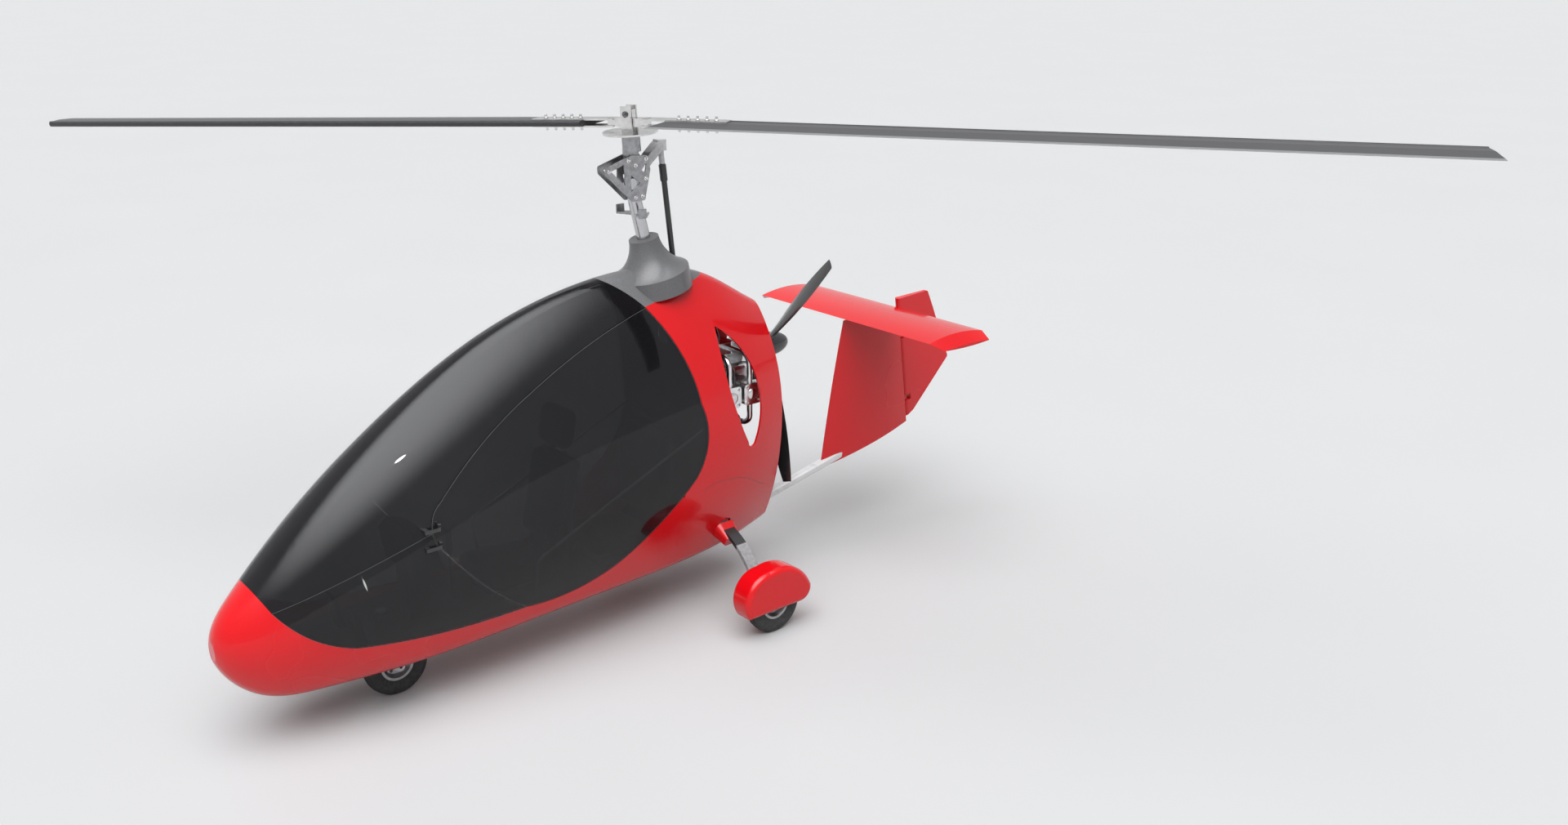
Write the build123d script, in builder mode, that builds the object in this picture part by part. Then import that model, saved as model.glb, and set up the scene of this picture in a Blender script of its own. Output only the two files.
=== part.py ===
import math
import os
from build123d import *

os.makedirs("parts", exist_ok=True)

# Gyrocopter in millimetres: nose towards -Y, port side +X, floor at Z 0
wall = 16
door_gap = 5
fit = 0.3
run_fit = 0.05
far = 3000

# Hull sections: station, bottom, widest height, top, half width, lower corner radius
hull_rows = [
    (-2540, 500, 556, 612, 44, 34),
    (-2512, 430, 554, 680, 98, 68),
    (-2400, 305, 553, 812, 192, 115),
    (-2100, 240, 598, 1106, 306, 155),
    (-1650, 232, 698, 1466, 390, 165),
    (-1050, 252, 838, 1826, 438, 160),
    (-400, 272, 958, 2026, 448, 150),
    (100, 286, 1040, 2048, 434, 130),
    (450, 312, 1090, 1954, 394, 120),
    (780, 352, 1130, 1758, 304, 110),
]
upper_turn = 40
side_turn = 25
belly_turn = 15

# Seams of the skin in side view (station, height)
nose_top = (-2401, 962)
nose_corner = (-2300, 756)
sill_front = (-1951, 503)
door_foot = (-1045, 442)
sill_rear = (-440, 540)
cowl_foot = (-40, 818)
roof_corner = (-98, 1881)
door_low = (-1490, 900)
door_nose = (-1538, 1008)
door_high = (-1470, 1150)
door_brow = (-886, 1582)
fairing_front = (-345, 2064)
fairing_rear = (520, 2003)
belly_seam_a = (280, 832)
belly_seam_b = (550, 728)
belly_seam_c = (900, 552)

# Ground gear
wheel_radius = 175
tyre_width = 92
rim_radius = 92
main_track = 1520
main_y = 320
nose_y = -1645
steer_trail = 45
steer_y = nose_y - steer_trail
axle_radius = 10
tow_bore_radius = 7

# Cabin
floor_z = 400
floor_thick = 12
bulkhead_y = 136
bulkhead_thick = 14
beam_top = 1600

# Mast and rotor
mast_radius = 38
mast_lean = 12.8
mast_neck_y = 30
mast_neck_z = 2221
head_y = -35
pivot_z = 2632
hub_z = 2858
rotor_radius = 4200
rotor_turn = 28.58
rotor_tilt = 3.4
blade_droop = 0.94
blade_chord = 235
blade_thick = 28
teeter_rise = 46

# Power plant
prop_y = 884
prop_z = 1440
prop_radius = 860
prop_turn = 44.6

# Tail
boom_width = 60
boom_height = 46
boom_rise = 0.2066
boom_y = 896
boom_z = 443
hinge_foot_y = 2158
hinge_foot_z = 702
hinge_top_y = 2046
hinge_top_z = 1546
stab_z = 1500
stab_front = 1525
stab_rear = 1990
stab_span = 850
stab_thick = 52


def upper_arc(half, rise):
    turn = math.radians(upper_turn)
    s, c = math.sin(turn), math.cos(turn)
    radius = (rise * c - half * (1 - s)) / (s * c - (1 - c) * (1 - s))
    return half - radius * (1 - c), radius * s


def lower_arcs(half, drop, corner):
    a, b = math.radians(side_turn), math.radians(belly_turn)
    across = half - corner * (math.cos(a) - math.sin(b))
    down = drop - corner * (math.cos(b) - math.sin(a))
    det = (1 - math.cos(a)) * (1 - math.cos(b)) - math.sin(b) * math.sin(a)
    radius = (across * (1 - math.cos(b)) - math.sin(b) * down) / det
    x1, z1 = radius * (1 - math.cos(a)), radius * math.sin(a)
    x2 = x1 + corner * (math.cos(a) - math.sin(b))
    z2 = z1 + corner * (math.cos(b) - math.sin(a))
    return (half - x1, z1), (half - x2, z2)


def hull_section(row, inset):
    station, bottom, mid, top, half, corner = row
    bottom, top, half = bottom + inset, top - inset, half - inset
    shoulder, rise = upper_arc(half, top - mid)
    (x1, z1), (x2, z2) = lower_arcs(half, mid - bottom, corner)
    points = [
        (half, mid),
        (shoulder, mid + rise),
        (0, top),
        (-shoulder, mid + rise),
        (-half, mid),
        (-x1, mid - z1),
        (-x2, mid - z2),
        (0, bottom),
        (x2, mid - z2),
        (x1, mid - z1),
        (half, mid),
    ]
    frame_plane = Plane(origin=(0, station, 0), x_dir=(1, 0, 0), z_dir=(0, -1, 0))
    with BuildSketch(frame_plane, mode=Mode.PRIVATE) as sketch:
        with BuildLine():
            edge = TangentArc(points[0], points[1], tangent=(0, 1))
            for start, end in zip(points[1:-1], points[2:]):
                edge = TangentArc(start, end, tangent=edge % 1)
        make_face()
    return sketch.sketch.face()


def chain(start, steps):
    at = start
    for step in steps:
        if isinstance(step[0], tuple):
            ThreePointArc(at, step[0], step[1])
            at = step[1]
        else:
            Line(at, step)
            at = step


door_rise = [((-1290, 655), door_low), (door_nose, door_high)]
door_roof = [((-1274, 1331), door_brow), ((-505, 1755), roof_corner)]
sill_run = [((-1500, 452), door_foot), ((-640, 462), sill_rear)]
cowl_low = (40, 905)
cowl_high = (110, 1330)
door_tail = [((45, 1610), cowl_high), ((132, 1100), cowl_low), ((-132, 754), sill_rear)]

door_loop = [*door_rise, *door_roof, *door_tail, ((-640, 462), door_foot)]

# The whole outer skin volume and the hollow inside it
with BuildPart() as outer_body:
    loft([hull_section(row, 0) for row in hull_rows])

with BuildPart() as inner_body:
    loft([hull_section(row, wall) for row in hull_rows[2:]])
    extrude(faces().sort_by(Axis.Y)[-1], amount=40)

with BuildPart() as skin:
    add(outer_body.part)
    add(inner_body.part, mode=Mode.SUBTRACT)

# Lower red tub with the nose, open below for the nose wheel and at the sides for the legs
well_radius = 228
leg_width = 74
leg_thick = 24
leg_slot_z = 486
leg_slot_gap = 14
with BuildPart() as hull_tub:
    add(skin.part)
    with BuildSketch(Plane.YZ):
        with BuildLine():
            chain(nose_top, [
                nose_corner,
                ((-2150, 600), sill_front),
                *sill_run,
                (sill_rear[0], cowl_foot[1]),
                cowl_foot,
                belly_seam_a,
                ((430, 800), belly_seam_b),
                belly_seam_c,
                (belly_seam_c[0], 0),
                (-far, 0),
                (-far, nose_top[1]),
                nose_top,
            ])
        make_face()
    extrude(amount=far, both=True, mode=Mode.INTERSECT)
    with BuildSketch(Plane.YZ):
        with BuildLine():
            chain(door_foot, door_loop)
        make_face()
    extrude(amount=far, both=True, mode=Mode.SUBTRACT)
    with BuildSketch(Plane.XY):
        with Locations((0, steer_y)):
            Circle(well_radius)
    extrude(amount=floor_z, mode=Mode.SUBTRACT)
    with BuildSketch(Plane.YZ):
        with Locations((main_y, leg_slot_z)):
            RectangleRounded(leg_width + 2 * leg_slot_gap, 120, 24)
    extrude(amount=far, both=True, mode=Mode.SUBTRACT)
hull_tub.part.label = "hull_tub"
export_step(hull_tub.part, "parts/hull_tub.step")

# One-piece windscreen from the nose to the mast fairing
with BuildPart() as windscreen:
    add(skin.part)
    with BuildSketch(Plane.YZ):
        with BuildLine():
            chain(nose_top, [
                nose_corner,
                door_nose,
                (door_nose[0] + 200, door_nose[1]),
                (door_brow[0], door_brow[1] - 200),
                roof_corner,
                ((-205, 1982), fairing_front),
                (fairing_front[0], far),
                (nose_top[0], far),
                nose_top,
            ])
        make_face()
    extrude(amount=far, both=True, mode=Mode.INTERSECT)
    with BuildSketch(Plane.YZ):
        with BuildLine():
            chain(door_foot, door_loop)
        make_face()
    extrude(amount=far, both=True, mode=Mode.SUBTRACT)
windscreen.part.label = "windscreen"
export_step(windscreen.part, "parts/windscreen.step")

# Lower side windows of the nose, one on each side
with BuildPart() as nose_windows:
    add(skin.part)
    with BuildSketch(Plane.YZ):
        with BuildLine():
            chain(nose_corner, [
                ((-2150, 600), sill_front),
                ((-1500, 452), door_foot),
                (door_foot[0], door_nose[1]),
                door_nose,
                nose_corner,
            ])
        make_face()
    extrude(amount=far, both=True, mode=Mode.INTERSECT)
    with BuildSketch(Plane.YZ):
        with BuildLine():
            chain(door_foot, door_loop)
        make_face()
    extrude(amount=far, both=True, mode=Mode.SUBTRACT)
nose_windows.part.label = "nose_windows"
export_step(nose_windows.part, "parts/nose_windows.step")

# Satin cover on the roof with a neck around the mast
shaft_radius = 16
shaft_top = (0, 158, 2740)
shaft_foot = (0, 244, 1900)
neck_radius = 84
neck_flare = 130
mast_plane = Plane(
    origin=(0, mast_neck_y, mast_neck_z),
    x_dir=(1, 0, 0),
    z_dir=(0, -math.sin(math.radians(mast_lean)), math.cos(math.radians(mast_lean))),
)
with BuildPart() as neck_core:
    with BuildSketch(Plane(mast_plane.origin, x_dir=(1, 0, 0), z_dir=mast_plane.y_dir * -1)):
        with BuildLine():
            chain((0, 0), [
                (neck_radius, 0),
                ((neck_radius + 22, -88), (neck_radius + neck_flare, -198)),
                (neck_radius + neck_flare, -330),
                (0, -330),
                (0, 0),
            ])
        make_face()
    revolve(axis=Axis(mast_plane.origin, mast_plane.z_dir))
    add(inner_body.part, mode=Mode.SUBTRACT)
    with BuildSketch(Plane.YZ):
        with BuildLine():
            chain(roof_corner, [
                ((-205, 1982), fairing_front),
                (fairing_front[0], far),
                (fairing_rear[0], far),
                fairing_rear,
                roof_corner,
            ])
        make_face()
    extrude(amount=far, both=True, mode=Mode.INTERSECT)
with BuildPart() as mast_fairing:
    add(skin.part)
    with BuildSketch(Plane.YZ):
        with BuildLine():
            chain(roof_corner, [
                ((-205, 1982), fairing_front),
                (fairing_front[0], far),
                (fairing_rear[0], far),
                fairing_rear,
                roof_corner,
            ])
        make_face()
    extrude(amount=far, both=True, mode=Mode.INTERSECT)
    add(neck_core.part)
    with BuildSketch(mast_plane):
        Circle(mast_radius + fit)
    extrude(amount=far / 2, both=True, mode=Mode.SUBTRACT)
    with BuildLine() as shaft_hole:
        Line(shaft_foot, shaft_top)
    with BuildSketch(Plane(origin=shaft_hole.line @ 0, z_dir=shaft_hole.line % 0)):
        Circle(shaft_radius + fit)
    sweep(path=shaft_hole.line, mode=Mode.SUBTRACT)
mast_fairing.part.label = "mast_fairing"
export_step(mast_fairing.part, "parts/mast_fairing.step")

# Red engine cowl, open at the back, with a tall lens opening on each side
with BuildPart() as engine_cowl:
    add(skin.part)
    with BuildSketch(Plane.YZ):
        with BuildLine():
            chain(cowl_foot, [
                roof_corner,
                fairing_rear,
                (belly_seam_c[0], fairing_rear[1]),
                belly_seam_c,
                belly_seam_b,
                ((430, 800), belly_seam_a),
                cowl_foot,
            ])
        make_face()
    extrude(amount=far, both=True, mode=Mode.INTERSECT)
    with BuildSketch(Plane.YZ):
        with BuildLine():
            chain(door_foot, door_loop)
        make_face()
    extrude(amount=far, both=True, mode=Mode.SUBTRACT)
    with BuildSketch(Plane.YZ):
        with BuildLine():
            chain((318, 1715), [
                ((548, 1420), (520, 1010)),
                ((480, 985), (452, 1020)),
                ((322, 1400), (318, 1715)),
            ])
        make_face()
    extrude(amount=far, both=True, mode=Mode.SUBTRACT)
engine_cowl.part.label = "engine_cowl"
export_step(engine_cowl.part, "parts/engine_cowl.step")

# Side doors, each with two hinge barrels at its front edge
hinge_x = 402
hinge_y = -1512
hinge_pin_radius = 4
barrel_radius = 8
barrel_height = 18
hinge_rows = [(950, 372), (1046, 352)]
for node, side in (("left_door", 1), ("right_door", -1)):
    with BuildPart() as door:
        add(skin.part)
        with BuildSketch(Plane.YZ):
            with BuildLine():
                chain(door_foot, door_loop)
            make_face()
            offset(amount=-door_gap)
        extrude(amount=side * far, mode=Mode.INTERSECT)
        for height, depth in hinge_rows:
            with BuildSketch(Plane.XY.offset(height)):
                with Locations((side * hinge_x, hinge_y)):
                    Circle(barrel_radius)
                with Locations((side * (hinge_x + depth) / 2, hinge_y)):
                    Rectangle(hinge_x - depth, barrel_radius * 2)
            extrude(amount=barrel_height)
            with BuildSketch(Plane.XY.offset(height)):
                with Locations((side * hinge_x, hinge_y)):
                    Circle(hinge_pin_radius + run_fit)
            extrude(amount=barrel_height, mode=Mode.SUBTRACT)
    door.part.label = node
    export_step(door.part, "parts/" + node + ".step")

# Fixed hinge leaves with the pins, two on each side
leaf_reach = 78
leaf_gap = 1
with BuildPart() as door_hinges:
    for side in (1, -1):
        for height, depth in hinge_rows:
            base = height - barrel_height - leaf_gap
            with BuildSketch(Plane.XY.offset(base)):
                with Locations((side * hinge_x, hinge_y)):
                    Circle(barrel_radius)
                with Locations((side * hinge_x, hinge_y - leaf_reach / 2)):
                    Rectangle(barrel_radius, leaf_reach)
                with Locations((side * (hinge_x - 30), hinge_y - leaf_reach + 12)):
                    Rectangle(60 + barrel_radius, 24)
            extrude(amount=barrel_height)
            with BuildSketch(Plane.XY.offset(base)):
                with Locations((side * hinge_x, hinge_y)):
                    Circle(hinge_pin_radius)
            extrude(amount=barrel_height * 2 + leaf_gap)
    add(outer_body.part, mode=Mode.SUBTRACT)
door_hinges.part.label = "door_hinges"
export_step(door_hinges.part, "parts/door_hinges.step")

# Cabin floor with the upright steering bush
stem_radius = 18
bush_radius = 32
bush_top = 480
with BuildPart() as cabin_floor:
    with BuildSketch(Plane.XY.offset(floor_z)):
        with Locations((0, (bulkhead_y - 2150) / 2)):
            Rectangle(960, bulkhead_y + 2150)
    extrude(amount=floor_thick)
    add(inner_body.part, mode=Mode.INTERSECT)
    with BuildSketch(Plane.XY.offset(floor_z)):
        with Locations((0, steer_y)):
            Circle(bush_radius)
    extrude(amount=bush_top - floor_z)
    with BuildSketch(Plane.XY.offset(floor_z - 1)):
        with Locations((0, steer_y)):
            Circle(stem_radius + run_fit)
    extrude(amount=bush_top - floor_z + 2, mode=Mode.SUBTRACT)
cabin_floor.part.label = "cabin_floor"
export_step(cabin_floor.part, "parts/cabin_floor.step")

# Bulkhead behind the rear seat, notched for the mast
with BuildPart() as rear_bulkhead:
    with BuildSketch(Plane.XZ.offset(-bulkhead_y)):
        with Locations((0, 1150)):
            Rectangle(960, 1900)
        with Locations((0, beam_top - 10 + 300)):
            Rectangle(mast_radius * 2 + 40, 600, mode=Mode.SUBTRACT)
    extrude(amount=-bulkhead_thick)
    add(inner_body.part, mode=Mode.INTERSECT)
    add(neck_core.part, mode=Mode.SUBTRACT)
rear_bulkhead.part.label = "rear_bulkhead"
export_step(rear_bulkhead.part, "parts/rear_bulkhead.step")

# Bowed spring legs, one strip from wheel to wheel through the hull
leg_root = (250, 520)
leg_mid = (478, 426)
leg_end = (652, 196)
leg_bar = 260
axle_block_in = 636
axle_block_out = 680
axle_block_half = 34
axle_stub_radius = 12
leg_plane = Plane.XZ.offset(-main_y - leg_width / 2)
with BuildPart() as gear_bow:
    for side in (1, -1):
        with BuildSketch(leg_plane):
            with BuildLine() as bow_line:
                ThreePointArc(
                    (side * leg_root[0], leg_root[1]),
                    (side * leg_mid[0], leg_mid[1]),
                    (side * leg_end[0], leg_end[1]),
                )
            trace(bow_line.line, line_width=leg_thick)
        extrude(amount=leg_width)
    with BuildSketch(leg_plane):
        with Locations((0, leg_root[1])):
            Rectangle(leg_bar * 2, leg_thick)
    extrude(amount=leg_width)
    for side in (1, -1):
        with BuildSketch(Plane.YZ.offset(side * axle_block_in)):
            with Locations((main_y, wheel_radius)):
                Rectangle(leg_width * 2, axle_block_half * 2)
        extrude(amount=side * 100, mode=Mode.SUBTRACT)
gear_bow.part.label = "gear_bow"
export_step(gear_bow.part, "parts/gear_bow.step")

# Red cuffs where the legs leave the hull
cuff_depth = 104
with BuildPart() as leg_cuffs:
    for side in (1, -1):
        cuff_foot = (side * 300, main_y, leg_slot_z)
        cuff_plane = Plane(origin=cuff_foot, x_dir=(0, 1, 0), z_dir=(side * 0.86, 0, -0.5))
        with BuildSketch(cuff_plane):
            RectangleRounded(leg_width + 70, 112, 40)
        extrude(amount=cuff_depth, taper=12)
    add(outer_body.part, mode=Mode.SUBTRACT)
    for side in (1, -1):
        with BuildSketch(leg_plane.offset(-2)):
            with BuildLine() as bow_line:
                ThreePointArc(
                    (side * leg_root[0], leg_root[1]),
                    (side * leg_mid[0], leg_mid[1]),
                    (side * leg_end[0], leg_end[1]),
                )
            trace(bow_line.line, line_width=leg_thick + 2 * fit)
        extrude(amount=leg_width + 4, mode=Mode.SUBTRACT)
leg_cuffs.part.label = "leg_cuffs"
export_step(leg_cuffs.part, "parts/leg_cuffs.step")

# Stub axles on blocks at the leg ends
axle_reach = main_track / 2 + 40
with BuildPart() as main_axles:
    for side in (1, -1):
        with BuildSketch(Plane.YZ.offset(side * axle_block_in)):
            with Locations((main_y, wheel_radius)):
                RectangleRounded(leg_width, axle_block_half * 2, 12)
        extrude(amount=side * (axle_block_out - axle_block_in))
        with BuildSketch(Plane.YZ.offset(side * axle_block_out)):
            with Locations((main_y, wheel_radius)):
                Circle(axle_stub_radius)
        extrude(amount=side * (axle_reach - axle_block_out))
main_axles.part.label = "main_axles"
export_step(main_axles.part, "parts/main_axles.step")

# Wheel covers, hollow for the tyre
spat_half = main_track / 2 - axle_block_out
spat_round = 34
wheel_room = 12
with BuildPart() as wheel_spats:
    for side in (1, -1):
        with BuildSketch(Plane.YZ.offset(side * axle_block_out)):
            with BuildLine():
                chain((main_y - 216, 150), [
                    ((main_y - 236, 285), (main_y - 70, 405)),
                    ((main_y + 112, 384), (main_y + 240, 244)),
                    ((main_y + 226, 184), (main_y + 166, 150)),
                    (main_y - 216, 150),
                ])
            make_face()
        extrude(amount=side * spat_half * 2)
    fillet(edges().filter_by(GeomType.CIRCLE), radius=spat_round)
    for side in (1, -1):
        with BuildSketch(Plane.YZ.offset(side * (main_track / 2 - tyre_width / 2 - wheel_room))):
            with Locations((main_y, wheel_radius)):
                Circle(wheel_radius + wheel_room)
        extrude(amount=side * (tyre_width + 2 * wheel_room), mode=Mode.SUBTRACT)
        with BuildSketch(Plane.YZ.offset(side * axle_block_out)):
            with Locations((main_y, wheel_radius)):
                Circle(axle_stub_radius + fit)
        extrude(amount=side * 60, mode=Mode.SUBTRACT)
wheel_spats.part.label = "wheel_spats"
export_step(wheel_spats.part, "parts/wheel_spats.step")

# Wheels: node stem, centre across, station, bore radius
wheel_rows = [
    ("left", main_track / 2, main_y, axle_stub_radius),
    ("right", -main_track / 2, main_y, axle_stub_radius),
    ("nose", 0, nose_y, axle_radius),
]
tyre_round = 30
rim_width = 66
hub_width = 84
for stem, across, station, bore in wheel_rows:
    wheel_plane = Plane(origin=(across, station, wheel_radius), x_dir=(1, 0, 0), z_dir=(0, 0, 1))
    wheel_axis = Axis((across, station, wheel_radius), (1, 0, 0))
    with BuildPart() as tyre:
        with BuildSketch(wheel_plane):
            with Locations((0, (wheel_radius + rim_radius) / 2)):
                RectangleRounded(tyre_width, wheel_radius - rim_radius, tyre_round)
            with Locations((0, rim_radius)):
                Rectangle(rim_width, 24)
            with Locations((0, rim_radius - 50)):
                Rectangle(tyre_width * 2, 100, mode=Mode.SUBTRACT)
        revolve(axis=wheel_axis)
    tyre.part.label = stem + "_tyre"
    export_step(tyre.part, "parts/" + stem + "_tyre.step")
    with BuildPart() as rim:
        with BuildSketch(wheel_plane):
            with BuildLine():
                Polyline(
                    (-rim_width / 2, rim_radius),
                    (-rim_width / 2, rim_radius - 14),
                    (-10, rim_radius - 30),
                    (-10, 40),
                    (-hub_width / 2, 32),
                    (-hub_width / 2, bore + run_fit),
                    (hub_width / 2, bore + run_fit),
                    (hub_width / 2, 32),
                    (10, 40),
                    (10, rim_radius - 30),
                    (rim_width / 2, rim_radius - 14),
                    (rim_width / 2, rim_radius),
                    close=True,
                )
            make_face()
        revolve(axis=wheel_axis)
    rim.part.label = stem + "_rim"
    export_step(rim.part, "parts/" + stem + "_rim.step")

# Steered nose fork with a hollow axle for a tow bar
fork_in = 60
fork_thick = 10
crown_z = wheel_radius * 2 + 14
crown_thick = 16
crown_half = 46
fork_foot = 26
with BuildPart() as nose_fork:
    for side in (1, -1):
        with BuildSketch(Plane.YZ.offset(side * fork_in)):
            with BuildLine():
                Polyline(
                    (nose_y - fork_foot, wheel_radius - 8),
                    (nose_y + fork_foot, wheel_radius - 8),
                    (steer_y + crown_half, crown_z + crown_thick),
                    (steer_y - crown_half, crown_z + crown_thick),
                    close=True,
                )
            make_face()
            with Locations((nose_y, wheel_radius)):
                Circle(fork_foot)
        extrude(amount=side * fork_thick)
    with BuildSketch(Plane.XY.offset(crown_z)):
        with Locations((0, steer_y)):
            RectangleRounded(2 * (fork_in + fork_thick), 2 * crown_half, 8)
    extrude(amount=crown_thick)
    with BuildSketch(Plane.XY.offset(crown_z)):
        with Locations((0, steer_y)):
            Circle(stem_radius)
    extrude(amount=bush_top + 8 - crown_z)
    with BuildSketch(Plane.XY.offset(bush_top + 5)):
        with Locations((0, steer_y)):
            Circle(stem_radius + 9)
    extrude(amount=14)
    with BuildSketch(Plane.YZ.offset(-fork_in - fork_thick - 6)):
        with Locations((nose_y, wheel_radius)):
            Circle(axle_radius)
    extrude(amount=2 * (fork_in + fork_thick + 6))
    with BuildSketch(Plane.YZ.offset(-fork_in - fork_thick - 6)):
        with Locations((nose_y, wheel_radius)):
            Circle(tow_bore_radius)
    extrude(amount=2 * (fork_in + fork_thick + 6), mode=Mode.SUBTRACT)
nose_fork.part.label = "nose_fork"
export_step(nose_fork.part, "parts/nose_fork.step")

# Seats: node, front, its height, cushion rear, its height, back top, its height, half width
seat_base = floor_z + floor_thick
seat_rows = [
    ("front_seat", -1180, 575, -770, 520, -600, 1385, 205),
    ("rear_seat", -520, 640, -110, 590, 20, 1400, 215),
]
seat_back_thick = 110
for node, front, front_z, dip, dip_z, back, back_z, half in seat_rows:
    with BuildPart() as seat:
        with BuildSketch(Plane.YZ):
            with BuildLine():
                Polyline(
                    (front + 40, seat_base),
                    (front, front_z),
                    (dip, dip_z),
                    (back - 20, back_z - 40),
                    (back, back_z),
                    (back + seat_back_thick - 30, back_z),
                    (back + seat_back_thick - 30, back_z - 120),
                    (dip + seat_back_thick + 20, seat_base),
                    close=True,
                )
            make_face()
        extrude(amount=half, both=True)
    seat.part.label = node
    export_step(seat.part, "parts/" + node + ".step")

# Instrument pod on a pedestal
with BuildPart() as instrument_pod:
    with BuildSketch(Plane.YZ):
        with BuildLine():
            Polyline(
                (-1560, 412),
                (-1560, 700),
                (-1590, 880),
                (-1540, 930),
                (-1440, 890),
                (-1400, 700),
                (-1440, 412),
                close=True,
            )
        make_face()
    extrude(amount=62, both=True)
    with BuildSketch(Plane.YZ):
        with BuildLine():
            Polyline((-1590, 880), (-1540, 930), (-1440, 890), (-1400, 700), (-1560, 700), close=True)
        make_face()
    extrude(amount=165, both=True)
instrument_pod.part.label = "instrument_pod"
export_step(instrument_pod.part, "parts/instrument_pod.step")

# Control stick and pedals
with BuildPart() as cabin_controls:
    with BuildSketch(Plane.XY.offset(seat_base)):
        with Locations((0, -1280)):
            Circle(36)
    extrude(amount=24)
    with BuildSketch(Plane.XY.offset(seat_base)):
        with Locations((0, -1280)):
            Circle(10)
    extrude(amount=300)
    with BuildSketch(Plane.XY.offset(seat_base + 300)):
        with Locations((0, -1280)):
            Circle(19)
    extrude(amount=120, taper=2)
    for side in (1, -1):
        with BuildSketch(Plane.YZ.offset(side * 105)):
            with BuildLine():
                Polyline(
                    (-1880, seat_base),
                    (-1840, seat_base),
                    (-1870, 560),
                    (-1895, 610),
                    (-1905, 600),
                    (-1888, 550),
                    close=True,
                )
            make_face()
        extrude(amount=side * 70)
cabin_controls.part.label = "cabin_controls"
export_step(cabin_controls.part, "parts/cabin_controls.step")

# Long rails along both sides of the cabin
rail_radius = 9
rail_x = 368
rail_bend = 690
with BuildPart() as cabin_rails:
    for side in (1, -1):
        with BuildLine() as rail_line:
            FilletPolyline(
                (side * 292, -960, 380),
                (side * rail_x, -960, rail_bend),
                (side * rail_x, bulkhead_y + 40, 1180),
                radius=70,
            )
        with BuildSketch(Plane(origin=rail_line.line @ 0, z_dir=rail_line.line % 0)):
            Circle(rail_radius)
        sweep(path=rail_line.line)
    with BuildSketch(Plane.XY.offset(seat_base)):
        with Locations((0, bulkhead_y - 1000)):
            Rectangle(1000, 2000)
    extrude(amount=1200, mode=Mode.INTERSECT)
cabin_rails.part.label = "cabin_rails"
export_step(cabin_rails.part, "parts/cabin_rails.step")

# Round mast standing on the engine frame, flattened where the cheek plates bolt on
flat_half = 34
flat_foot = 2430
mast_top = 2560
with BuildPart() as mast_tube:
    with BuildSketch(mast_plane):
        Circle(mast_radius)
    extrude(amount=800, both=True)
    with BuildSketch(Plane.XY.offset(beam_top)):
        Rectangle(800, 800)
    extrude(amount=mast_top - beam_top, mode=Mode.INTERSECT)
    for side in (1, -1):
        with BuildSketch(Plane.YZ.offset(side * flat_half)):
            with Locations((0, flat_foot + 300)):
                Rectangle(600, 600)
        extrude(amount=side * 100, mode=Mode.SUBTRACT)
mast_tube.part.label = "mast_tube"
export_step(mast_tube.part, "parts/mast_tube.step")

# Triangular cheek plates carrying the tilting rotor head on a cross pin
cheek_thick = 8
pivot_radius = 9
cheek_windows = [
    ((-192, 2612), (-104, 2642), (-104, 2528)),
    ((-66, 2580), (-66, 2490), (-8, 2535)),
    ((28, 2588), (38, 2640), (4, 2600)),
]
with BuildPart() as cheek_plates:
    for side in (1, -1):
        with BuildSketch(Plane.YZ.offset(side * flat_half)):
            with BuildLine():
                FilletPolyline(
                    (-62, 2436),
                    (22, 2436),
                    (62, 2600),
                    (48, 2678),
                    (-60, 2686),
                    (-226, 2634),
                    (-226, 2596),
                    radius=14,
                    close=True,
                )
            make_face()
            for corners in cheek_windows:
                with BuildLine():
                    Polyline(*corners, close=True)
                make_face(mode=Mode.SUBTRACT)
        extrude(amount=side * cheek_thick)
    with BuildSketch(Plane.YZ.offset(-flat_half)):
        with Locations((head_y, pivot_z)):
            Circle(pivot_radius)
    extrude(amount=2 * flat_half)
cheek_plates.part.label = "cheek_plates"
export_step(cheek_plates.part, "parts/cheek_plates.step")

# Angle brackets on the mast below the cheek plates
bracket_z = 2352
with BuildPart() as mast_brackets:
    for side in (1, -1):
        with BuildSketch(Plane.XY.offset(bracket_z)):
            with BuildLine():
                Polyline(
                    (side * 20, -30),
                    (side * 112, -70),
                    (side * 112, -20),
                    (side * 20, 60),
                    close=True,
                )
            make_face()
        extrude(amount=12)
        with BuildSketch(Plane.XY.offset(bracket_z)):
            with BuildLine():
                Polyline(
                    (side * 104, -70),
                    (side * 112, -70),
                    (side * 112, -20),
                    (side * 104, -20),
                    close=True,
                )
            make_face()
        extrude(amount=52)
    with BuildSketch(mast_plane):
        Circle(mast_radius)
    extrude(amount=600, both=True, mode=Mode.SUBTRACT)
mast_brackets.part.label = "mast_brackets"
export_step(mast_brackets.part, "parts/mast_brackets.step")

# Rotor plane: span along local X, trailing side along local -Y
turn = math.radians(rotor_turn)
tilt = math.radians(rotor_tilt)
rotor_plane = Plane(
    origin=(0, head_y, hub_z),
    x_dir=(math.cos(turn), math.sin(turn), math.tan(tilt) * math.sin(turn)),
    z_dir=(0, -math.sin(tilt), math.cos(tilt)),
)
disc_top = -48
disc_thick = 10
disc_radius = 150
housing_top = disc_top - disc_thick - 8
housing_depth = 90
spindle_radius = 17

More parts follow.
